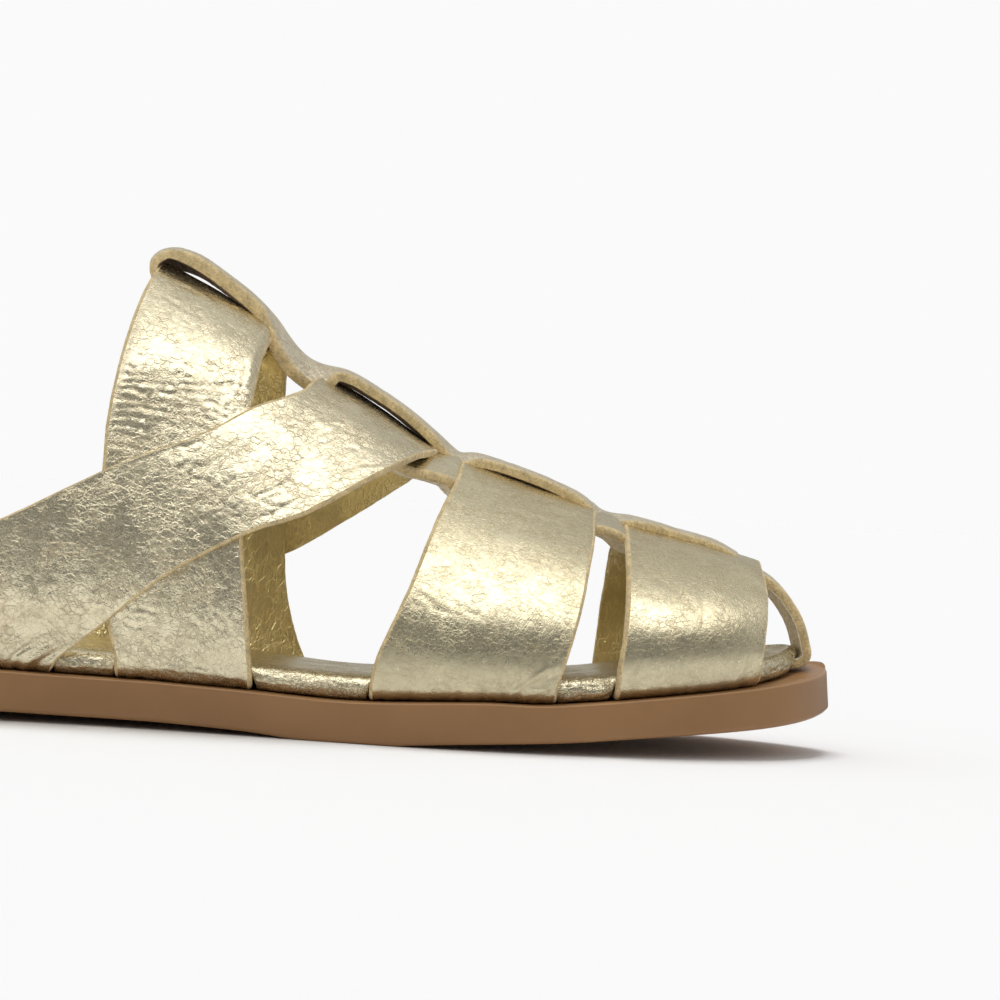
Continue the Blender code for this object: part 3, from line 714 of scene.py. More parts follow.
def build(name, points, faces, kinds, materials, flat, number, outward):
    """A smooth mesh object from points in the last's frame, with one material index a face. flat
    holds each point's place on the flat leather, in millimetres, for the grain. Face number
    looks outward, and the others with it."""
    a, b, _, d = points[faces[number]]
    if np.cross(b - a, d - a) @ outward < 0:
        faces = [face[::-1] for face in faces]
    piece = add_mesh(name, stand(points), faces, materials)
    mesh = piece.data
    mesh.polygons.foreach_set("material_index", np.asarray(kinds, np.int32))
    corners = np.empty(len(mesh.loops), np.int32)
    mesh.loops.foreach_get("vertex_index", corners)
    layer = mesh.uv_layers.new(name="flat")
    layer.uv.foreach_set("vector", (flat[corners] * MM).astype(np.float32).ravel())
    mesh.validate()
    mesh.shade_smooth()
    return piece


LEATHER_FACE, CUT_FACE, LINING_FACE = 0, 1, 2


def band_ring(width, spacing, corner):
    """Cross-section of a leather band, once round: how far across (0 rear, 1 front), distance in
    from that edge, share of the thickness, height over that, and kind of face up to the next."""
    arc = [(1 - math.sin(a), 1 - math.cos(a)) for a in np.linspace(0.0, math.pi / 2, 5)[1:]]
    wide, under, bulge = max(int(width / spacing), 8), corner * 0.6, -0.04
    inner = [(t, under, 0.0, 0.0) for t in np.linspace(1, 0, max(wide // 2, 6))]
    rows = [(t, corner, 1.0, 0.0) for t in np.linspace(0, 1, wide)]
    rows += [(1.0, corner * s, 1.0, -corner * c) for s, c in arc] + [(1.0, bulge, 0.5, 0.0)]
    rows += [(1.0, under * c, 0.0, under * s) for s, c in arc] + inner[1:]
    rows += [(0.0, under * s, 0.0, under * c) for s, c in arc] + [(0.0, bulge, 0.5, 0.0)]
    rows += [(0.0, corner * c, 1.0, -corner * s) for s, c in arc[:-1]]
    kinds = np.repeat([LEATHER_FACE, CUT_FACE, LINING_FACE, CUT_FACE], [wide - 1, 6, len(inner) + 5, 6])
    return np.column_stack([rows, kinds])


def make_band(name, grid, normals, thickness, corner, spacing, relief, materials, seed):
    """A band of leather on a grid of points of its inner face (across, along), with rounded cut
    edges that wander slightly, and relief(points, across, along) raised on its outer face."""
    width = np.linalg.norm(np.diff(grid, axis=0), axis=-1).sum(axis=0)
    along = lengths(grid[len(grid) // 2])
    ring = band_ring(width.max(), spacing, corner)
    t, edge, share, over = (ring[:, c][:, None] for c in range(4))
    line = np.stack([along, 0 * along, 0 * along], axis=-1)
    rear, front = (0.10 * noise(line, 5.0, n) + 0.05 * noise(line, 1.3, n + 1) for n in (seed, seed + 2))
    from_rear = (edge + rear) * (1 - t) + (width - edge - front) * t
    along = np.broadcast_to(along, from_rear.shape)
    column = from_rear / width * (len(grid) - 1)
    low = np.clip(np.floor(column).astype(int), 0, len(grid) - 2)
    part = (column - low)[..., None]
    row = np.arange(grid.shape[1])[None, :]
    points, normal = (a[low, row] * (1 - part) + a[low + 1, row] * part for a in (grid, normals))
    height = share * np.broadcast_to(thickness, width.shape) + over
    points = points + normal * height[..., None]
    hem = 0.35 + 0.65 * blend(np.minimum(from_rear, width - from_rear), 0.0, 2.5)
    points = points + normal * (relief(points, from_rear, along) * hem * blend(share, 0.4, 0.9))[..., None]
    slack = 0.10 * noise(points, 9.0, seed + 5) - 0.06 * furrows(points, 3.4, seed + 6)
    points = points + normal * (slack * (1 - blend(share, 0.0, 0.4)))[..., None]

    around, count = points.shape[:2]
    start = np.arange(around) * count
    faces = quads(around, count, close_rows=True) + [start[::-1].tolist(), (start + count - 1).tolist()]
    kinds = np.concatenate([np.repeat(ring[:, 4], count - 1), [CUT_FACE, CUT_FACE]])
    flat = np.stack([from_rear, along], axis=-1).reshape(-1, 2)
    number = len(faces) // 7
    outward = normal.reshape(-1, 3)[faces[number][0]]
    return build(name, points.reshape(-1, 3), faces, kinds, materials, flat, number, outward)


# ---------------------------------------------------------------- straps


def strap_points(edges, lift, slant, across, way):
    """Inner face of a strap. way runs from the end of the outer foot (0) by the sole (1), over
    the ridge (2) and down to the sole (3) and the end of the inner foot (4). The outer foot
    slants back by slant for each millimetre that it drops."""
    down = np.where(way < 2, way, 4 - way)
    height = np.clip(down - 1, 0.0, 1.0)
    run = np.clip(1 - down, 0.0, 1.0) * (FOOT_DROP + FOOT_ARC + FOOT_LENGTH - FOOT_BEND)
    drop = np.minimum(run, FOOT_DROP)
    angle = np.clip((run - drop) / FOOT_BEND, 0.0, math.pi / 2)
    inward = FOOT_BEND * (1 - np.cos(angle)) + np.maximum(run - drop - FOOT_ARC, 0.0)
    drop = drop + FOOT_BEND * np.sin(angle)
    sides = []
    for side, rear, front in SIDES:
        rear, front = smooth(edges, height, rear), smooth(edges, height, front)
        x = rear + (front - rear) * across
        back = slant * drop * (side == OUTER)
        wall, wall_behind = wall_at(x, side), wall_at(x - back, side)
        z = sole_top(x, wall) + FOOT_START - drop - sole_top(x, wall_behind) + sole_top(x - back, wall)
        foot = np.stack([x - back, wall_behind - side * inward, z], axis=-1)
        on_last = last_points(x, height, side, smooth(lift, height))
        sides.append(np.where((down < 1)[..., None], foot, on_last))
    return np.where((way < 2)[..., None], *sides)


def strap_grid(edges, lift, slant, spacing):
    """The inner face of a strap as an even grid across and along, and its normals outward."""
    trial = np.linspace(0.0, 4.0, 1201)
    along = lengths(strap_points(edges, lift, slant, 0.5, trial))
    way = np.interp(np.linspace(0, along[-1], int(along[-1] / spacing)), along, trial)
    across = np.linspace(0.0, 1.0, 49)
    grid = strap_points(edges, lift, slant, *np.meshgrid(across, way, indexing="ij"))
    return surface(grid, int(6 / spacing))


def pleats(points, seed, depth):
    """Small folds that run up from the sole where a strap is drawn in under the insole."""
    x, y, z = np.moveaxis(points, -1, 0)
    over = z - sole_top(x, y)
    fan = np.stack([x + 0.25 * over * noise(points, 14.0, seed), np.sign(y) * 50.0, over * 0.18], axis=-1)
    fold = noise(fan, 2.6, seed + 1) * 0.7 + noise(fan, 1.3, seed + 2) * 0.3
    fold = fold * (1 - blend(over, 2.0, 9.0)) * blend(noise(fan, 9.0, seed + 3), -0.4, 0.3)
    return depth * fold + 0.16 * noise(fan, 1.6, seed + 4) * (1 - blend(over, 1.6, 3.6))


def soft_folds(points, seed):
    """Long soft folds near the sole, that lean forward as they rise."""
    x, y, z = np.moveaxis(points, -1, 0)
    leaning = np.stack([x * 0.82 - z * 0.57, y * 0.2, (x * 0.57 + z * 0.82) * 0.4], axis=-1)
    return noise(leaning, 1.7, seed) * (1 - blend(z, 24.0, 42.0))


def leather_relief(points, seed, folds, drape, wrinkle, gather, coarse, swell):
    """Relief of a soft leather face: slow waves, furrows between pads, folds listed for the outer
    side, pleats at the sole, and a swell over the outer side's shoulder."""
    x, y, z = np.moveaxis(points, -1, 0)
    waves = drape * noise(points, 19.0, seed) + drape * 0.22 * noise(points, 8.0, seed + 1)
    patch = 0.45 + 0.55 * blend(noise(points, 15.0, seed + 2), -0.35, 0.35)
    lined = 0.6 * furrows(points, 3.3 * coarse, seed + 3) + 0.3 * furrows(points, 2.1 * coarse, seed + 5)
    lined = -wrinkle * patch * lined * (0.35 + 0.65 * blend(z - sole_top(x, y), 6.0, 16.0))
    under_strip = 1 - 0.8 * np.exp(-(((y - smooth(STRIP_LINE, x)) / 9.0) ** 2))
    shoulder = swell * np.exp(-(((z - SHOULDER[0]) / SHOULDER[1]) ** 2))
    placed = (strokes(points, folds) + shoulder) * (1 - blend(y, -4.0, 2.0))
    loose = 0.20 * (coarse - 1) * soft_folds(points, seed + 9)
    return (waves + lined) * under_strip + placed + loose + pleats(points, seed + 7, gather)


# ---------------------------------------------------------------- centre strip


def ribbon_grid(path, spacing, lean_back):
    """Grid of points of one face of a strip, across and along, its normals and its thickness."""
    line = spline(path, 12, False)
    along = lengths(line[:, :2])
    even = np.linspace(0.0, along[-1], int(round(along[-1] / spacing)) + 1)
    x, z, radius, thickness, half = (np.interp(even, along, column) for column in line.T)
    slope = np.gradient(np.stack([x, z], axis=1), axis=0)
    slope /= np.linalg.norm(slope, axis=1)[:, None]
    normal_x, normal_z = -slope[:, 1], slope[:, 0]
    offset = np.linspace(1.0, -1.0, 33)[:, None] * half
    inner, outer = (np.clip(side * offset / half, 0.0, 1.0) ** 2 for side in (INNER, OUTER))
    if lean_back:
        turn = np.where(x < 88.0 - z, np.clip((106.5 - z) / 7.0, 0.0, 1.0), 0.0)
        normal_x, normal_z = normal_x + turn * (0.45 - normal_x), normal_z + turn * (0.89 - normal_z)
    drop = radius - np.sqrt(radius**2 - offset**2)
    grid = np.stack([x - normal_x * drop, smooth(STRIP_LINE, x) + offset, z - normal_z * drop], axis=-1)
    if lean_back:
        grid[..., 2] -= FOLD_DIP * (1 - blend(x, -17.0, -8.0)) * inner * blend(z, 98.0, 101.0)
        start, end, down, out = STRIP_SAG
        grid[..., 1:] -= (window(x, start, end, 4.0) * outer)[..., None] * (out, down)
    return (*surface(grid, 4), thickness)


def joint_grid(spacing):
    """Outer face of the wide part of the strip, which follows the last under the straps."""
    x0, x1 = JOINTS[0][0], JOINTS[-1][0]
    along = np.linspace(x0, x1, int((x1 - x0) * 1.25 / spacing))
    part, x = np.meshgrid(np.linspace(1.0, -1.0, 65), along, indexing="ij")
    height = 1 - np.abs(part) * (1 - JOINT_EDGE)
    back = smooth(JOINT_SKEW, x) * np.abs(part)
    sides = (last_points(x - back, height, side, smooth(JOINTS, x) - 0.35) for side in (OUTER, INNER))
    return surface(np.where((part < 0)[..., None], *sides), 4)


def strip_relief(seed, height):
    """Relief of the centre strip: short creases across it and a slight pillow."""

    def relief(points, across, along):
        place = np.stack([along, across * 0.45, 0 * along], axis=-1)
        creases = -0.6 * furrows(place, 3.0, seed) * blend(noise(place, 12.0, seed + 3), -0.2, 0.4)
        return height * (creases + 0.7 * noise(points, 9.0, seed + 5) + 0.3 * noise(points, 3.5, seed + 6))

    return relief


# ---------------------------------------------------------------- insole and outsole


def even_loop(loop, half):
    """The loop as points that face each other across the foot: heel to toe on the outer side,
    then toe to heel on the inner side. With each comes the point beside it on the middle line."""
    start, end = loop[:, 0].min(), loop[:, 0].max()
    x = start + (end - start) * (1 - np.cos(np.pi * np.arange(half + 1) / half)) / 2
    middle = np.clip(x, start + 20.0, end - 26.0)
    halfway = (side_at(loop, middle, OUTER) + side_at(loop, middle, INNER)) / 2
    lines = (x, side_at(loop, x, OUTER)), (x, side_at(loop, x, INNER)), (middle, halfway)
    outer, inner, spine = (np.stack(line, axis=-1) for line in lines)
    return np.concatenate([outer, inner[-2:0:-1]]), np.concatenate([spine, spine[-2:0:-1]])


def raised(xy, z):
    return np.column_stack([xy, z])


def make_plate(name, rings, materials, kinds):
    """A closed plate from rings of points that run from near the middle line of its top, over
    the rim, to near the middle line of its underside. kinds has a material for each row."""
    rings = np.array(rings)
    rows, count = rings.shape[:2]
    faces = quads(rows, count, close_columns=True)
    last = (rows - 1) * count
    for k in range(count // 2):
        face = list(dict.fromkeys([k, k + 1, (count - k - 1) % count, (count - k) % count]))
        faces += [face, [last + i for i in reversed(face)]]
    kinds = list(np.repeat(kinds, count)) + [kinds[0], kinds[-1]] * (count // 2)
    points = rings.reshape(-1, 3)
    return build(name, points, faces, kinds, materials, points[:, :2], 0, (0.0, 0.0, 1.0))


def strap_feet(x, y):
    """1 where a strap's foot passes under the insole's edge, 0 between the straps."""
    found = blend(x, 110.0, 112.0) * (1 - blend(np.abs(y - smooth(STRIP_LINE, x)), 8.2, 9.6))
    for edges in (INSTEP_STRAP, REAR_STRAP, FOREFOOT_STRAP, TOE_STRAP):
        for side, rear, front in SIDES:
            back = REAR_SLANT * (FOOT_DROP + FOOT_BEND) if edges is REAR_STRAP and side == OUTER else 0.0
            over = window(x, edges[0][rear] - back - 0.1, edges[0][front] - back + 0.1, 0.5)
            found = np.maximum(found, over * (np.sign(y - 3.0) == side))
    return found


def insole_rings(thickness, crown):
    """Rings of the padded insole: its crowned top, the rolled rim and the underside."""
    edge, spine = even_loop(INSOLE_EDGE, 520)
    roll = 2.7
    rings = []
    inner_edge = inset(edge, roll)
    for part in np.linspace(0.04, 1.0, 26):
        xy = spine + (inner_edge - spine) * part
        sink = crown * (1 - part**4) - 0.35 * blend(part, 0.80, 0.93) * (1 - blend(part, 0.93, 1.0))
        rings.append(raised(xy, insole_top(*xy.T, thickness) + sink))
    feet = strap_feet(*edge.T)
    bottom = sole_top(*edge.T) + 2.3 * feet + 0.12
    half_height = (insole_top(*edge.T, thickness) - bottom) / 2
    out = raised(edge - inner_edge, 0 * feet)
    out /= np.linalg.norm(out, axis=1)[:, None]
    for angle in np.linspace(math.pi / 2, -math.pi / 2 * 0.86, 27)[1:]:
        xy = inset(edge, roll - roll * math.cos(angle) ** 0.8)
        points = raised(xy, bottom + half_height * (1 + math.sin(angle)))
        draw = points * [0.75, 0.75, 1.1]
        crease = -0.20 * furrows(draw, 3.2, 61) + 0.24 * noise(draw, 3.2, 63)
        crease = crease - 0.11 * furrows(points, 1.5, 65)
        crease *= blend(-angle, -1.35, -0.2) * math.cos(angle * 0.8)
        facing = out * math.cos(angle) + np.array([0.0, 0.0, 1.0]) * math.sin(angle)
        rings.append(points + facing * crease[:, None])
    for part in (0.93, 0.82, 0.6, 0.3, 0.04):
        xy = spine + (inner_edge - spine) * part
        rings.append(raised(xy, sole_top(*xy.T) + 2.35 * feet * blend(part, 0.3, 0.6) + 0.12))
    return rings


def tread(x, y):
    """Depth of the fine wavy ribs under the forefoot and the heel."""
    under = np.maximum(window(x, -5.0, 108.0, 3.0), window(x, -113.0, -62.0, 3.0))
    edge = np.minimum(y - side_at(SOLE_EDGE, x, OUTER), side_at(SOLE_EDGE, x, INNER) - y)
    wave = x + 1.6 * np.sin(y / 4.2)
    return 0.7 * blend(np.abs((wave / 4.6) % 1.0 - 0.5), 0.30, 0.42) * under * blend(edge, 5.0, 6.2)


def outsole_rings(corner):
    """Rings of the outsole: its top, the rounded upper edge, the wall and the ribbed underside."""
    edge, spine = even_loop(SOLE_EDGE, 460)
    x = edge[:, 0]
    top, bottom = sole_top(*edge.T), underside(x)
    soft = 1 + 0.9 * blend(x, 108.0, 126.0)
    lean, round_in, round_down = 0.35, 0.75 * soft, 0.55 * soft
    inner_edge = inset(edge, lean + round_in)
    quarter = [(math.sin(a), math.cos(a)) for a in np.linspace(0.0, math.pi / 2, 7)[1:]]
    rings = []
    for part in (0.05, 0.5, 0.85, 0.92, 0.97, 1.0):
        xy = spine + (inner_edge - spine) * part
        rings.append(raised(xy, sole_top(*xy.T)))
    rings += [raised(inset(edge, lean + round_in * (1 - s)), top - round_down * (1 - c)) for s, c in quarter]
    for part in np.linspace(0.0, 1.0, 13)[1:]:
        height = bottom + corner + (top - round_down - bottom - corner) * (1 - part)
        wave = 0.05 * noise(raised(edge, height), 12.0, 71)
        rings.append(raised(inset(edge, lean * (1 - part) + wave), height))
    for angle in np.linspace(0.0, math.pi / 2, 6)[1:]:
        xy = inset(edge, corner * (1 - math.cos(angle)))
        rings.append(raised(xy, bottom + corner * (1 - math.sin(angle))))
    flat_edge = inset(edge, corner)
    for part in np.linspace(1.0, 0.04, 64)[1:]:
        xy = spine + (flat_edge - spine) * part
        rings.append(raised(xy, underside(xy[:, 0]) + tread(*xy.T)))
    return rings


# ---------------------------------------------------------------- shader nodes


class Graph:
    """Adds nodes to a node tree. Most methods give the new node's output."""

    def __init__(self, tree):
        self.tree = tree

    def fill(self, sockets, values):
        """Sets sockets to values or links other nodes' outputs to them."""
        for name, value in values.items():
            if isinstance(value, bpy.types.NodeSocket):
                self.tree.links.new(value, sockets[name])
            else:
                sockets[name].default_value = value

    def node(self, kind, inputs, **settings):
        made = self.tree.nodes.new("ShaderNode" + kind)
        for name, value in settings.items():
            setattr(made, name, value)
        self.fill(made.inputs, inputs)
        return made.outputs

    def calc(self, operation, *values):
        return self.node("Math", dict(enumerate(values)), operation=operation)[0]

    def vector(self, operation, first, second):
        name = "Scale" if operation == "SCALE" else 1
        return self.node("VectorMath", {0: first, name: second}, operation=operation)[0]

    def ramp(self, value, low, high, to_low=0.0, to_high=1.0):
        """A soft step of a value from one range to another."""
        inputs = {"Value": value, "From Min": low, "From Max": high, "To Min": to_low, "To Max": to_high}
        return self.node("MapRange", inputs, interpolation_type="SMOOTHSTEP")[0]

    def mix(self, part, first, second):
        return self.node("Mix", {0: part, 6: first, 7: second}, data_type="RGBA")[2]

    def noise(self, place, scale, detail=2.0, roughness=0.5, distortion=0.0):
        inputs = {"Vector": place, "Scale": scale, "Detail": detail, "Roughness": roughness}
        return self.node("TexNoise", inputs | {"Distortion": distortion})

    def effect(self, make, *values):
        """Outputs of a shared node group, which is made the first time that it is asked for."""
        name = make.__name__.replace("_", " ").capitalize()
        tree = bpy.data.node_groups.get(name)
        if not tree:
            tree = bpy.data.node_groups.new(name, "ShaderNodeTree")
            for label, kind, default in make.inputs:
                socket = tree.interface.new_socket(label, in_out="INPUT", socket_type="NodeSocket" + kind)
                if default is not None:
                    socket.default_value = default
            given = tree.nodes.new("NodeGroupInput").outputs
            results = make(Graph(tree), *(given[label] for label, _, _ in make.inputs))
            for label, result in results.items():
                kind = "NodeSocketColor" if result.type == "RGBA" else "NodeSocketFloat"
                tree.interface.new_socket(label, in_out="OUTPUT", socket_type=kind)
            Graph(tree).fill(tree.nodes.new("NodeGroupOutput").inputs, results)
        inputs = {label: value for (label, _, _), value in zip(make.inputs, values)}
        return self.node("Group", inputs, node_tree=tree)

    def drift(self, place, size, colour, low, high):
        """Slow change of a colour between a darker and a lighter shade."""
        return self.effect(colour_drift, place, size, shade(colour, low), shade(colour, high))


def shade(colour, factor):
    return tuple(c * factor for c in colour[:3]) + (1.0,)


def tumbled_grain(g, place, pad, groove, lean):
    """Grain of tumbled leather: small pads, each leaning its own way, with narrow creases between
    them, in three sizes. Place and sizes are in millimetres."""
    size = g.calc("DIVIDE", 1.0, pad)
    place = g.vector("SCALE", place, size)
    warp = g.noise(place, 1.1, 2.0, 0.6)["Color"]
    place = g.vector("ADD", place, g.vector("SCALE", g.vector("SUBTRACT", warp, (0.5,) * 3), 0.95))
    reach = g.calc("MULTIPLY", groove, g.calc("MULTIPLY", size, 0.5))
    strong = g.noise(place, 0.27)["Fac"]

    def pads(scale, offset, seldom, often):
        """Creases round pads of one size, where they are strong, and the lean of the pads."""
        moved = g.vector("ADD", place, (offset, offset * 0.6, offset * 0.3))
        inputs = {"Vector": moved, "Scale": scale, "Randomness": 1.0}
        edge = g.node("TexVoronoi", inputs, voronoi_dimensions="3D", feature="DISTANCE_TO_EDGE")["Distance"]
        near = g.node("TexVoronoi", inputs, voronoi_dimensions="3D", feature="F1")
        wall = g.calc("SUBTRACT", 1.0, g.calc("DIVIDE", edge, g.calc("MULTIPLY", reach, scale)))
        notch = g.calc("POWER", g.calc("MAXIMUM", wall, 0.0), 1.5)
        notch = g.calc("MULTIPLY", notch, g.ramp(strong, seldom, often, 0.25, 0.9))
        own = g.vector("SUBTRACT", near["Color"], (0.5,) * 3)
        out_from = g.vector("SUBTRACT", moved, near["Position"])
        return notch, g.node("VectorMath", {0: own, 1: out_from}, operation="DOT_PRODUCT")["Value"]

    coarse, tilt = pads(1.0, 0.0, 0.40, 0.58)
    small, small_tilt = pads(1.9, 7.3, 0.44, 0.62)
    fine, _ = pads(3.3, 3.9, 0.46, 0.60)
    lines = g.calc("MAXIMUM", coarse, g.calc("MULTIPLY", small, 0.65))
    lines = g.calc("MAXIMUM", lines, g.calc("MULTIPLY", fine, 0.35))
    tilt = g.calc("MULTIPLY", g.calc("ADD", tilt, g.calc("MULTIPLY", small_tilt, 0.7)), lean)
    waves = g.noise(place, 0.8)["Fac"]
    height = g.calc("SUBTRACT", g.calc("MULTIPLY_ADD", waves, 0.6, tilt), lines)
    return {"Height": height, "Groove": lines, "Tone": waves}


def fine_creases(g, place, angle, spacing, stretch):
    """Fine creases that run at an angle across flat leather. Place is in millimetres."""
    turned = g.node("VectorRotate", {"Vector": place, "Angle": angle}, rotation_type="Z_AXIS")[0]
    fine = g.calc("DIVIDE", 1.0, spacing)
    scale = g.node("CombineXYZ", {0: fine, 1: g.calc("DIVIDE", fine, stretch), 2: fine})[0]
    place = g.vector("MULTIPLY", turned, scale)
    field = g.noise(place, 1.0, 3.0, 0.55, 0.4)["Fac"]
    line = g.ramp(g.calc("ABSOLUTE", g.calc("SUBTRACT", field, 0.5)), 0.0, 0.045, 1.0, 0.0)
    line = g.calc("MULTIPLY", line, g.ramp(g.noise(place, 0.23, 1.0)["Fac"], 0.42, 0.62))
    return {"Height": g.calc("SUBTRACT", g.calc("MULTIPLY", field, 0.3), line), "Line": line}


def colour_drift(g, place, size, first, second):
    """Slow change between two colours over a surface. Place is in millimetres."""
    part = g.ramp(g.noise(place, g.calc("DIVIDE", 1.0, size), 4.0)["Fac"], 0.36, 0.64)
    return {"Colour": g.mix(part, first, second), "Part": part}


def nap(g, place, fibre):
    """Short fibres of cut or suede leather: a fine speckle. Place is in millimetres."""
    field = g.noise(place, g.calc("DIVIDE", 1.0, fibre), 3.0, 0.7)["Fac"]
    return {"Height": field, "Speck": g.ramp(field, 0.36, 0.62)}


PLACE = ("Place", "Vector", None)
tumbled_grain.inputs = (PLACE, ("Pad", "Float", 1.6), ("Groove", "Float", 0.3), ("Lean", "Float", 1.0))
fine_creases.inputs = (PLACE, ("Angle", "Float", 0.0), ("Spacing", "Float", 1.4), ("Stretch", "Float", 5.0))
colour_drift.inputs = (PLACE, ("Size", "Float", 14.0), ("First", "Color", None), ("Second", "Color", None))
nap.inputs = (PLACE, ("Fibre", "Float", 0.35))


# ---------------------------------------------------------------- materials


class Finish(Graph):
    """A material's nodes, with places in millimetres on the flat leather and on the piece."""

    def __init__(self, name):
        self.material = bpy.data.materials.new(name)
        self.material.use_nodes = True
        super().__init__(self.material.node_tree)
        self.flat = self.vector("SCALE", self.node("UVMap", {}, uv_map="flat")[0], 1 / MM)
        self.solid = self.vector("SCALE", self.node("TexCoord", {})["Object"], 1 / MM)

    def done(self, height=None, depth=1.0, **inputs):
        """Fills the shader's inputs, and its normal from a height that is depth millimetres high."""
        shader = next(n for n in self.tree.nodes if n.type == "BSDF_PRINCIPLED")
        self.fill(shader.inputs, {name.replace("_", " "): value for name, value in inputs.items()})
        if height is not None:
            made = self.node("Bump", {"Height": height, "Strength": 1.0, "Distance": depth * MM})[0]
            self.fill(shader.inputs, {"Normal": made})
        return self.material


def foil_leather(
    name,
    colour,
    pad,
    depth,
    roughness,
    creases,
    angle,
    lean=2.0,
    taut=0.5,
    patch=17.0,
    metal=0.96,
    calm=(0.0, 1.0, 1.0),
    crossed=0.0,
):
    """Leather laminated with metal foil: tumbled grain, fine creases, and grooves and crease lines
    painted darker, partly as foil worn off and partly as painted shade. calm has where along a
    strap the grain grows to full strength, from and to, and how much there is before it. crossed
    is the depth of creases that cross each other."""
    g = Finish(name)
    grain = g.effect(tumbled_grain, g.solid, pad, 0.44, lean)
    ahead, beside, above = g.node("SeparateXYZ", {0: g.solid})
    along = g.node("SeparateXYZ", {0: g.flat})[1]
    loose = g.ramp(along, *calm, 1.0)
    sheet = g.node("CombineXYZ", {0: ahead, 1: above, 2: beside})[0]
    one, two, three = (
        g.effect(fine_creases, sheet, turn, gap, 2.4)["Line"]
        for turn, gap in ((0.75, 1.3), (-0.65, 1.6), (-1.35, 2.3))
    )
    lines = g.calc("MAXIMUM", one, g.calc("MAXIMUM", two, three))
    # Painted shade and wear: grooves and fine crease lines are painted darker and rougher, partly as foil
    # worn off, partly as shade in the hollows.
    worn_and_shaded = g.calc("MULTIPLY_ADD", grain["Groove"], 0.5, g.calc("MULTIPLY", lines, 0.5))
    worn_and_shaded = g.calc("MULTIPLY", worn_and_shaded, loose)
    bare_and_shaded = (colour[0] * 0.62, colour[1] * 0.56, colour[2] * 0.5, 1.0)
    rough = g.calc("ADD", roughness - 0.05, g.calc("MULTIPLY", grain["Tone"], 0.10))
    rough = g.calc("ADD", rough, g.calc("MULTIPLY", worn_and_shaded, 0.3))
    rough = g.calc("ADD", rough, g.calc("MULTIPLY", g.calc("SUBTRACT", 1.0, loose), 0.16))
    height = g.calc("MULTIPLY", grain["Height"], depth)
    height = g.calc("SUBTRACT", height, g.calc("MULTIPLY", lines, crossed))
    height = g.calc("MULTIPLY", height, g.calc("MAXIMUM", loose, g.ramp(along, 10.0, 13.0, 0.7, 0.0)))
    folds = g.effect(fine_creases, g.flat, angle, 1.5, 6.0)["Height"]
    height = g.calc("ADD", height, g.calc("MULTIPLY", folds, creases))
    across = g.calc("ABSOLUTE", g.calc("SUBTRACT", beside, 5.0))
    height = g.calc("MULTIPLY", height, g.ramp(across, 9.0, 30.0, taut, 1.0))
    micro = g.effect(nap, g.flat, 0.22)["Height"]
    return g.done(
        g.calc("ADD", height, g.calc("MULTIPLY", micro, 0.005)),
        # In the grooves and crease lines the base colour turns darker: partly wear, partly painted shade.
        Base_Color=g.mix(worn_and_shaded, g.drift(g.solid, patch, colour, 0.94, 1.06)["Colour"], bare_and_shaded),
        Metallic=metal,
        Roughness=rough,
        Specular_Tint=(0.86, 0.83, 0.76, 1.0),
    )


def lining_leather(name, colour):
    """Thin gold lining, drawn into fine wrinkles, with the grooves of its grain painted
    lighter as a painted highlight.
    """
    g = Finish(name)
    folds = g.effect(fine_creases, g.flat, 0.15, 2.2, 6.0)["Height"]
    grain = g.effect(tumbled_grain, g.vector("MULTIPLY", g.solid, (1.1, 1.1, 0.62)), 2.1, 0.6, 0.9)
    drift = g.drift(g.solid, 12.0, colour, 0.85, 1.12)["Colour"]
    return g.done(
        g.calc("ADD", grain["Height"], g.calc("MULTIPLY", folds, 0.3)),
        0.26,
        # Painted highlight: the grain's grooves take a colour half again lighter than the lining.
        Base_Color=g.mix(g.calc("MULTIPLY", grain["Groove"], 0.8), drift, shade(colour, 1.5)),
        Metallic=0.8,
        Roughness=g.calc("ADD", 0.30, g.calc("MULTIPLY", grain["Tone"], 0.1)),
    )


def back_leather(name, colour, dark=0.6):
    """Suede or coated back of the centre strip: fibrous."""
    g = Finish(name)
    fibre = g.effect(nap, g.solid, 0.4)
    base = g.mix(fibre["Speck"], shade(colour, dark), shade(colour, 1.2))
    return g.done(fibre["Height"], 0.2, Base_Color=base, Roughness=0.95)


def raw_edge(name, colour):
    """Cut edge of leather: layered, fibrous and matt."""
    g = Finish(name)
    fibre, fleck = g.effect(nap, g.solid, 0.55), g.effect(nap, g.solid, 1.3)
    dark = g.calc("MULTIPLY", g.calc("SUBTRACT", 1.0, fibre["Speck"]), 0.55)
    speckled = g.mix(dark, g.drift(g.solid, 3.0, colour, 0.80, 1.12)["Colour"], shade(colour, 0.42))
    return g.done(
        g.calc("ADD", fibre["Height"], g.calc("MULTIPLY", fleck["Height"], 1.5)),
        0.35,
        Base_Color=g.mix(g.calc("MULTIPLY", fleck["Speck"], 0.35), speckled, shade(colour, 1.3)),
        Roughness=g.ramp(fibre["Speck"], 0.0, 1.0, 0.95, 0.78),
        Sheen_Weight=0.25,
    )


def tan_rubber(name, colour):
    """Satin rubber: a faint orange peel, moulding streaks and a little dust."""
    g = Finish(name)
    skin, drift = g.effect(nap, g.solid, 0.9), g.drift(g.solid, 26.0, colour, 0.94, 1.05)
    return g.done(
        skin["Height"],
        0.03,
        Base_Color=g.mix(g.calc("MULTIPLY", skin["Speck"], 0.04), drift["Colour"], shade(colour, 1.35)),
        Roughness=g.calc("ADD", 0.36, g.calc("MULTIPLY", drift["Part"], 0.08)),
    )


def pale_floor(name, colour):
    """Matt white studio floor with a barely visible mottle."""
    g = Finish(name)
    base = g.drift(g.solid, 300.0, colour, 0.998, 1.0)["Colour"]
    return g.done(Base_Color=base, Roughness=1.0, Specular_IOR_Level=0.0)


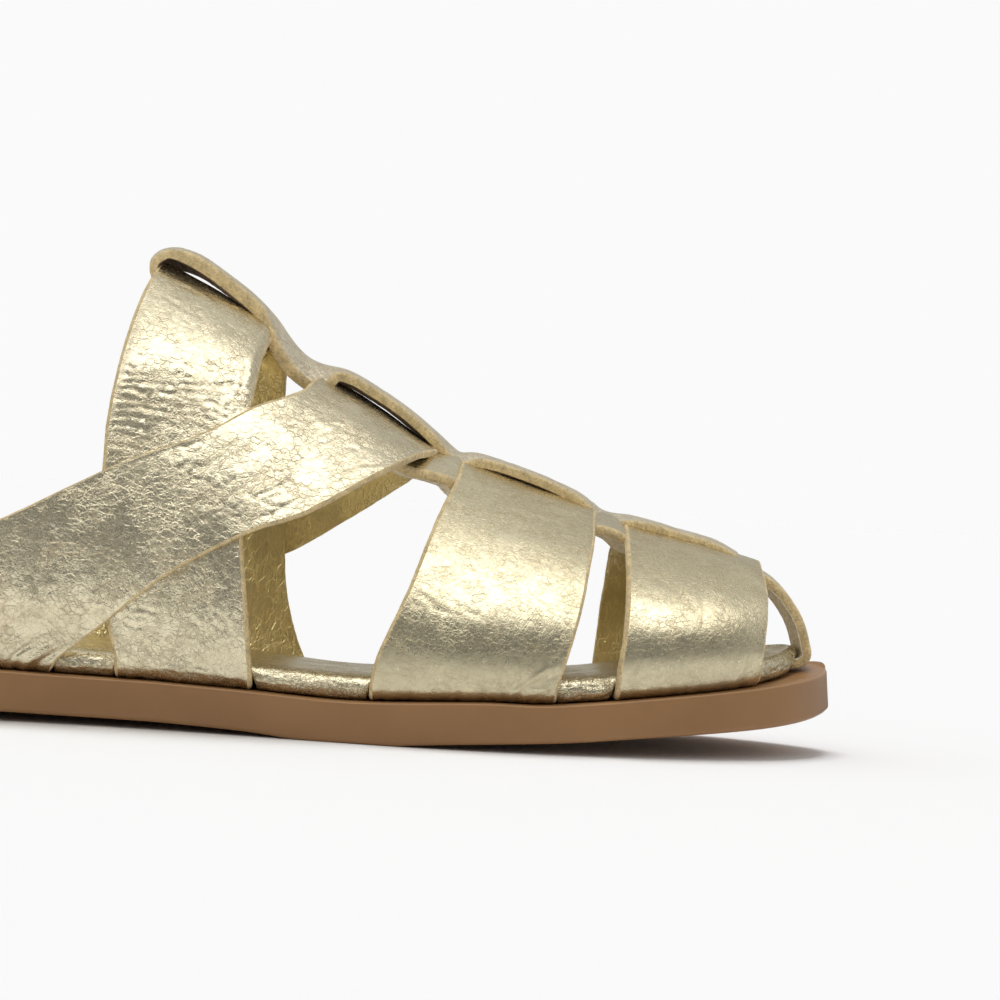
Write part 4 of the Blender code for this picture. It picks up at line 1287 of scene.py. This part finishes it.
def dark_card(name):
    """Matt grey card that fades in away from the sandal."""
    g = Finish(name)
    x, y, _ = g.node("SeparateXYZ", {0: g.solid})
    beyond = g.calc("MULTIPLY", g.calc("MAXIMUM", g.calc("SUBTRACT", x, 70.0), 0.0), 0.6)
    beside = g.calc("MULTIPLY", y, g.ramp(x, -45.0, 20.0, 0.45, 1.0))
    oval = g.node("CombineXYZ", {0: beyond, 1: beside})[0]
    away = g.node("VectorMath", {0: oval}, operation="LENGTH")["Value"]
    near = g.ramp(x, -45.0, 20.0, 0.08, 0.22)
    alpha = g.ramp(away, 62.0, 112.0, near, 0.95)
    return g.done(Base_Color=(0.1, 0.1, 0.1, 1.0), Roughness=1.0, Specular_IOR_Level=0.0, Alpha=alpha)


# ---------------------------------------------------------------- settings


def length(name, description, default):
    return FloatProperty(
        name=name, description=description, default=default * MM, unit="LENGTH", precision=5, min=0.0
    )


def colour(name, description, default):
    return FloatVectorProperty(
        name=name, description=description, default=default, subtype="COLOR", size=3, min=0.0, max=1.0
    )


class SandalSizes(bpy.types.PropertyGroup):
    """Sizes of the sandal's soft pieces"""

    strap_thickness: length("Strap thickness", "Thickness of the four leather straps", 1.8)
    edge_radius: length("Edge radius", "Rounding of the straps' cut edges", 0.75)
    strip_edge_radius: length("Strip edge radius", "Rounding of the centre strip's padded edges", 0.95)
    joint_thickness: length("Joint thickness", "Thickness of the piece that joins the front straps", 2.2)
    drape: length("Drape", "Height of the slow waves in the straps", 0.24)
    wrinkle: length("Wrinkle", "Depth of the wrinkles in the straps", 0.17)
    padding: length("Padding", "Thickness of the padded insole", 5.0)
    crown: length("Crown", "How far the insole's middle stands over its edge", 0.35)
    sole_corner: length("Sole corner", "Rounding of the outsole's lower edge", 0.8)


class SandalColours(bpy.types.PropertyGroup):
    """Colours and grain of the sandal's finishes"""

    foil: colour("Foil", "Metal foil on the front straps", (0.86, 0.775, 0.53))
    rear_foil: colour("Rear foil", "Metal foil on the rear straps", (0.87, 0.79, 0.565))
    strip: colour("Strip foil", "Metal foil on the centre strip", (0.82, 0.745, 0.57))
    lining: colour("Lining", "Gold lining inside the straps", (0.80, 0.665, 0.34))
    # The dark brown of the strip's back is painted shade under the centre strip.
    strip_back: colour("Strip back", "Suede back of the centre strip", (0.22, 0.15, 0.085))
    pale_back: colour("Pale back", "Back of the strip's joints and of its toe end", (1.0, 0.92, 0.76))
    cut_edge: colour("Cut edge", "Raw edge of the leather", (0.79, 0.61, 0.315))
    wrap: colour("Insole wrap", "Foil leather round the insole", (0.78, 0.71, 0.50))
    rubber: colour("Rubber", "Outsole", (0.325, 0.168, 0.065))
    # Painted highlight: a lighter rubber for the rounded upper edge of the outsole.
    rubber_edge: colour("Rubber edge", "Thin line along the outsole's upper edge", (0.40, 0.215, 0.088))
    floor: colour("Floor", "Studio floor", (0.956, 0.956, 0.956))
    pad: length("Grain", "Size of the pads of the grain", 1.5)


# ---------------------------------------------------------------- operators


def finish_piece(piece, stands_for):
    """Fits a new piece into the frame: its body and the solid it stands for."""
    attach(piece, "root")
    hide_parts(stands_for)


def ready(make, name, *values, **looks):
    """The material of this name, made the first time that it is asked for."""
    return bpy.data.materials.get(name) or make(name, *values, **looks)


def leather_faces(colours, coarse):
    """The materials of a strap: outer face, cut edge and lining. The rear straps' leather is the
    more tumbled."""
    pad = colours.pad / MM
    if coarse:
        values = ("rear_foil", colours.rear_foil, pad * 1.15, 0.08, 0.18, 0.0, 0.9, 1.6)
        foil = ready(foil_leather, *values, calm=(15.0, 27.0, 0.78), crossed=0.010)
    else:
        values = ("front_foil", colours.foil, pad * 0.85, 0.052, 0.20, 0.015, 0.2, 1.5, 0.6)
        foil = ready(foil_leather, *values, calm=(14.5, 20.0, 0.55), crossed=0.010)
    cut = ready(raw_edge, "cut_leather", colours.cut_edge)
    return [foil, cut, ready(lining_leather, "gold_lining", colours.lining)]


def strip_faces(colours, back):
    """The materials of the centre strip: its outer face has a finer grain and less foil shine."""
    values = ("strip_leather", colours.strip, colours.pad / MM * 0.7, 0.13, 0.34, 0.04, 1.2, 1.8, 1.0, 3.5)
    return [ready(foil_leather, *values, metal=0.75), leather_faces(colours, False)[CUT_FACE], back]


class MakeOperator:
    """What the sandal's operators share. Each has its own make(sizes, colours)."""

    bl_options = {"REGISTER", "UNDO"}

    def execute(self, context):
        self.make(context.scene.sandal_sizes, context.scene.sandal_colours)
        return {"FINISHED"}


class SANDAL_OT_straps(MakeOperator, bpy.types.Operator):
    """Make the four leather straps that run over the foot and in under the insole"""

    bl_idname = "sandal.straps"
    bl_label = "Leather straps"

    def make(self, sizes, colours):
        crossing = [(height, lift * REAR_CROSSING) for height, lift in REAR_LIFT]
        flat = ((0.0, 0.0), (1.0, 0.0))
        for name, edges, lift, slant, spacing, folds, gather, tumbled, coarse, swell, seed in (
            ("instep_strap", INSTEP_STRAP, flat, 0.0, 0.42, INSTEP_FOLDS, 0.36, 1.2, 1.0, 2.2, 11),
            ("rear_strap", REAR_STRAP, crossing, REAR_SLANT, 0.56, REAR_FOLDS, 0.42, 1.2, 1.6, 0.0, 23),
            ("forefoot_strap", FOREFOOT_STRAP, flat, 0.0, 0.42, FOREFOOT_FOLDS, 0.16, 0.3, 1.0, 0.0, 37),
            ("toe_strap", TOE_STRAP, flat, 0.0, 0.40, TOE_FOLDS, 0.10, 0.25, 1.0, 0.0, 41),
        ):
            leather = (seed, folds, sizes.drape / MM, sizes.wrinkle / MM * tumbled, gather, coarse, swell)

            def relief(points, across, along, leather=leather):
                return leather_relief(points, *leather)

            strap = make_band(
                name,
                *strap_grid(edges, lift, slant, spacing),
                sizes.strap_thickness / MM,
                sizes.edge_radius / MM,
                spacing,
                relief,
                leather_faces(colours, tumbled > 1),
                seed,
            )
            finish_piece(strap, "upper")


class SANDAL_OT_centre_strip(MakeOperator, bpy.types.Operator):
    """Make the centre strip, its turned-in toe end and the wide piece that joins the front straps"""

    bl_idname = "sandal.centre_strip"
    bl_label = "Centre strip"

    def make(self, sizes, colours):
        corner = sizes.strip_edge_radius / MM
        thick = sizes.joint_thickness / MM
        strip, strip_normals, strip_thick = ribbon_grid(CENTRE_STRIP, 0.5, True)
        strip = strip - strip_normals * strip_thick[None, :, None]
        joint, joint_normals = joint_grid(0.5)
        joint = joint - joint_normals * thick
        # Painted shade: the strip's back is made dark brown for the shade under the strip.
        strip_back = ready(back_leather, "strip_back", colours.strip_back)
        strip_skin = strip_faces(colours, strip_back)
        toe_skin = strip_faces(colours, back_leather("pale_back", colours.pale_back, 0.8))
        joint_skin = leather_faces(colours, True)[:CUT_FACE] + toe_skin[CUT_FACE:]
        for name, band, rounding, spacing, height, faces, seed in (
            ("centre_strip", (strip, strip_normals, strip_thick), corner, 0.5, 0.14, strip_skin, 51),
            ("toe_strip", ribbon_grid(TOE_STRIP, 0.45, False), corner * 0.8, 0.45, 0.12, toe_skin, 57),
            ("strip_joints", (joint, joint_normals, thick), corner, 0.5, 0.10, joint_skin, 59),
        ):
            piece = make_band(name, *band, rounding, spacing, strip_relief(seed, height), faces, seed)
            finish_piece(piece, "upper")


class SANDAL_OT_insole(MakeOperator, bpy.types.Operator):
    """Make the padded insole, wrapped in foil leather that gathers round its rim"""

    bl_idname = "sandal.insole"
    bl_label = "Wrapped insole"

    def make(self, sizes, colours):
        rings = insole_rings(sizes.padding / MM, sizes.crown / MM)
        values = (colours.wrap, colours.pad / MM * 0.9, 0.09, 0.22, 0.05, 0.0, 2.0, 1.0)
        wrap = foil_leather("insole_wrap", *values)
        insole = make_plate("wrapped_insole", rings, [wrap], [0] * (len(rings) - 1))
        finish_piece(insole, "insole")


class SANDAL_OT_outsole(MakeOperator, bpy.types.Operator):
    """Make the rubber outsole with its ribbed tread"""

    bl_idname = "sandal.outsole"
    bl_label = "Rubber outsole"

    def make(self, sizes, colours):
        rings = outsole_rings(sizes.sole_corner / MM)
        side = tan_rubber("sole_rubber", colours.rubber)
        edge = tan_rubber("sole_edge_highlight_rubber", colours.rubber_edge)
        # Painted highlight: faces in the middle of the rounded upper edge (rows 8 and 9) take the lighter
        # rubber.
        kinds = [int(8 <= row < 10) for row in range(len(rings) - 1)]
        outsole = make_plate("rubber_outsole", rings, [side, edge], kinds)
        finish_piece(outsole, "outsole")


class SANDAL_OT_stage(MakeOperator, bpy.types.Operator):
    """Set the floor, the soft studio light and the camera"""

    bl_idname = "sandal.stage"
    bl_label = "Stage"

    def make(self, sizes, colours):
        make_floor(colours)
        make_flags()
        light_world()
        make_sun()
        make_camera()


def make_floor(colours):
    """A large floor under the sandal, with its middle drawn finer round the soles."""
    half, count = 6.0, 24
    steps = np.linspace(-1.0, 1.0, count + 1)
    steps = np.sign(steps) * np.abs(steps) ** 2.2 * half
    x, y = np.meshgrid(steps, steps, indexing="ij")
    points = np.stack([x, y, np.zeros_like(x)], axis=-1).reshape(-1, 3)
    finish = pale_floor("pale_floor", colours.floor)
    floor = add_mesh("studio_floor", points, quads(count + 1, count + 1), [finish])


def make_flags():
    """Dark cards that lie on the floor round the sandal, a hand's width off. Only the shine of
    the leather shows them: they give its upright parts their dark zone."""
    count, over_floor = 96, 0.0006
    angle = np.arange(count) * 2 * math.pi / count
    rings = [
        np.stack([a * np.cos(angle), b * np.sin(angle), np.full(count, over_floor)], axis=-1)
        for a, b in ((1.4, 1.2), (0.001, 0.001))
    ]
    faces = quads(2, count, close_columns=True)
    cards = add_mesh("flag_cards", np.concatenate(rings), faces, [dark_card("dark_card")])
    for rays in ("camera", "diffuse", "shadow", "transmission", "volume_scatter"):
        setattr(cards, "visible_" + rays, False)


def light_world():
    """Soft light from all round, with a bright panel overhead and a darker room in front, which
    only the shine of the leather shows."""
    scene = bpy.context.scene
    scene.view_settings.view_transform = "Standard"
    scene.view_settings.look = "None"
    scene.world = bpy.data.worlds.new("studio")
    scene.world.use_nodes = True
    scene.world.node_tree.nodes.clear()
    g = Graph(scene.world.node_tree)
    x, y, z = g.node("SeparateXYZ", {0: g.node("TexCoord", {})["Generated"]})
    upward = g.calc("MULTIPLY_ADD", z, 0.5, 0.5)
    brightest = 4.0

    def levels(*stops):
        """Brightness by height of the direction, from (height, level) stops."""
        made = g.node("ValToRGB", {0: upward})[0]
        shades = made.node.color_ramp
        shades.interpolation = "EASE"
        elements = shades.elements
        while len(elements) < len(stops):
            elements.new(0.5)
        for element, (height, level) in zip(elements, stops):
            element.position = (height + 1) / 2
            element.color = (level / brightest,) * 3 + (1.0,)
        return made

    front = levels(
        (-0.10, 0.15), (0.34, 0.20), (0.50, 0.8), (0.62, 2.15), (0.90, 2.35), (0.97, 1.6), (1.0, 1.0)
    )
    behind = levels(
        (-0.10, 0.64), (0.12, 0.62), (0.24, 0.50), (0.40, 0.53), (0.85, 0.55), (0.95, 0.74), (1.0, 1.0)
    )
    left = levels((-0.10, 0.15), (0.28, 0.30), (0.48, 1.45), (0.80, 1.45), (0.94, 0.55), (1.0, 0.62))
    glossy = g.mix(g.ramp(y, 0.25, -0.35), behind, front)
    glossy = g.mix(g.ramp(x, -0.35, -0.85), glossy, left)
    path = g.node("LightPath", {})
    seen = g.node("Background", {0: (0.956, 0.956, 0.956, 1.0), 1: 1.0})[0]
    lit = g.node("Background", {0: (1.0, 1.0, 1.0, 1.0), 1: FILL_LIGHT})[0]
    mirrored = g.node("Background", {0: glossy, 1: brightest})[0]
    light = g.node("MixShader", {0: path["Is Glossy Ray"], 1: lit, 2: mirrored})[0]
    g.node("OutputWorld", {0: g.node("MixShader", {0: path["Is Camera Ray"], 1: light, 2: seen})[0]})


def make_sun():
    """The broad overhead light, a little behind the sandal. It lights what is matt and casts the
    shadow; the shine of the leather comes from the studio round it."""
    data = bpy.data.lights.new("overhead", "SUN")
    data.energy = KEY_LIGHT
    data.angle = math.radians(30.0)
    sun = bpy.data.objects.new("overhead", data)
    bpy.context.scene.collection.objects.link(sun)
    sun.rotation_euler = (math.radians(-12.0), math.radians(-4.0), 0.0)
    sun.visible_glossy = False


def make_camera():
    """A long lens on the outer side, level with the straps, square to the foot."""
    data = bpy.data.cameras.new("camera")
    data.sensor_width = 36.0
    data.lens = 122.04
    data.clip_start = 0.01
    camera = bpy.data.objects.new("camera", data)
    bpy.context.scene.collection.objects.link(camera)
    stood = Matrix.Translation((STAND_X * MM, 0.0, STAND_Z * MM))
    stood = stood @ Matrix.Rotation(-math.radians(LEAN), 4, "Y")
    turn = Matrix.Rotation(math.radians(CAMERA_TURN), 4, "Z")
    turn = turn @ Matrix.Rotation(math.radians(CAMERA_TILT), 4, "X")
    camera.matrix_world = stood @ Matrix.Translation(CAMERA_PLACE) @ turn
    bpy.context.scene.camera = camera


OPERATORS = (SANDAL_OT_outsole, SANDAL_OT_insole, SANDAL_OT_straps, SANDAL_OT_centre_strip, SANDAL_OT_stage)


class SANDAL_PT_panel(bpy.types.Panel):
    """Buttons and settings of the sandal"""

    bl_idname = "SANDAL_PT_panel"
    bl_label = "Fisherman sandal"
    bl_space_type = "VIEW_3D"
    bl_region_type = "UI"
    bl_category = "Sandal"

    def draw(self, context):
        for operator in OPERATORS:
            self.layout.operator(operator.bl_idname)
        for group in (context.scene.sandal_sizes, context.scene.sandal_colours):
            for name in group.__annotations__:
                self.layout.prop(group, name)


CLASSES = (SandalSizes, SandalColours) + OPERATORS + (SANDAL_PT_panel,)


def register():
    for cls in CLASSES:
        bpy.utils.register_class(cls)
    bpy.types.Scene.sandal_sizes = PointerProperty(type=SandalSizes)
    bpy.types.Scene.sandal_colours = PointerProperty(type=SandalColours)


def unregister():
    del bpy.types.Scene.sandal_colours
    del bpy.types.Scene.sandal_sizes
    for cls in reversed(CLASSES):
        bpy.utils.unregister_class(cls)


def main():
    register()
    bpy.ops.sandal.outsole()
    bpy.ops.sandal.insole()
    bpy.ops.sandal.straps()
    bpy.ops.sandal.centre_strip()
    bpy.ops.sandal.stage()


if __name__ == "__main__":
    main()
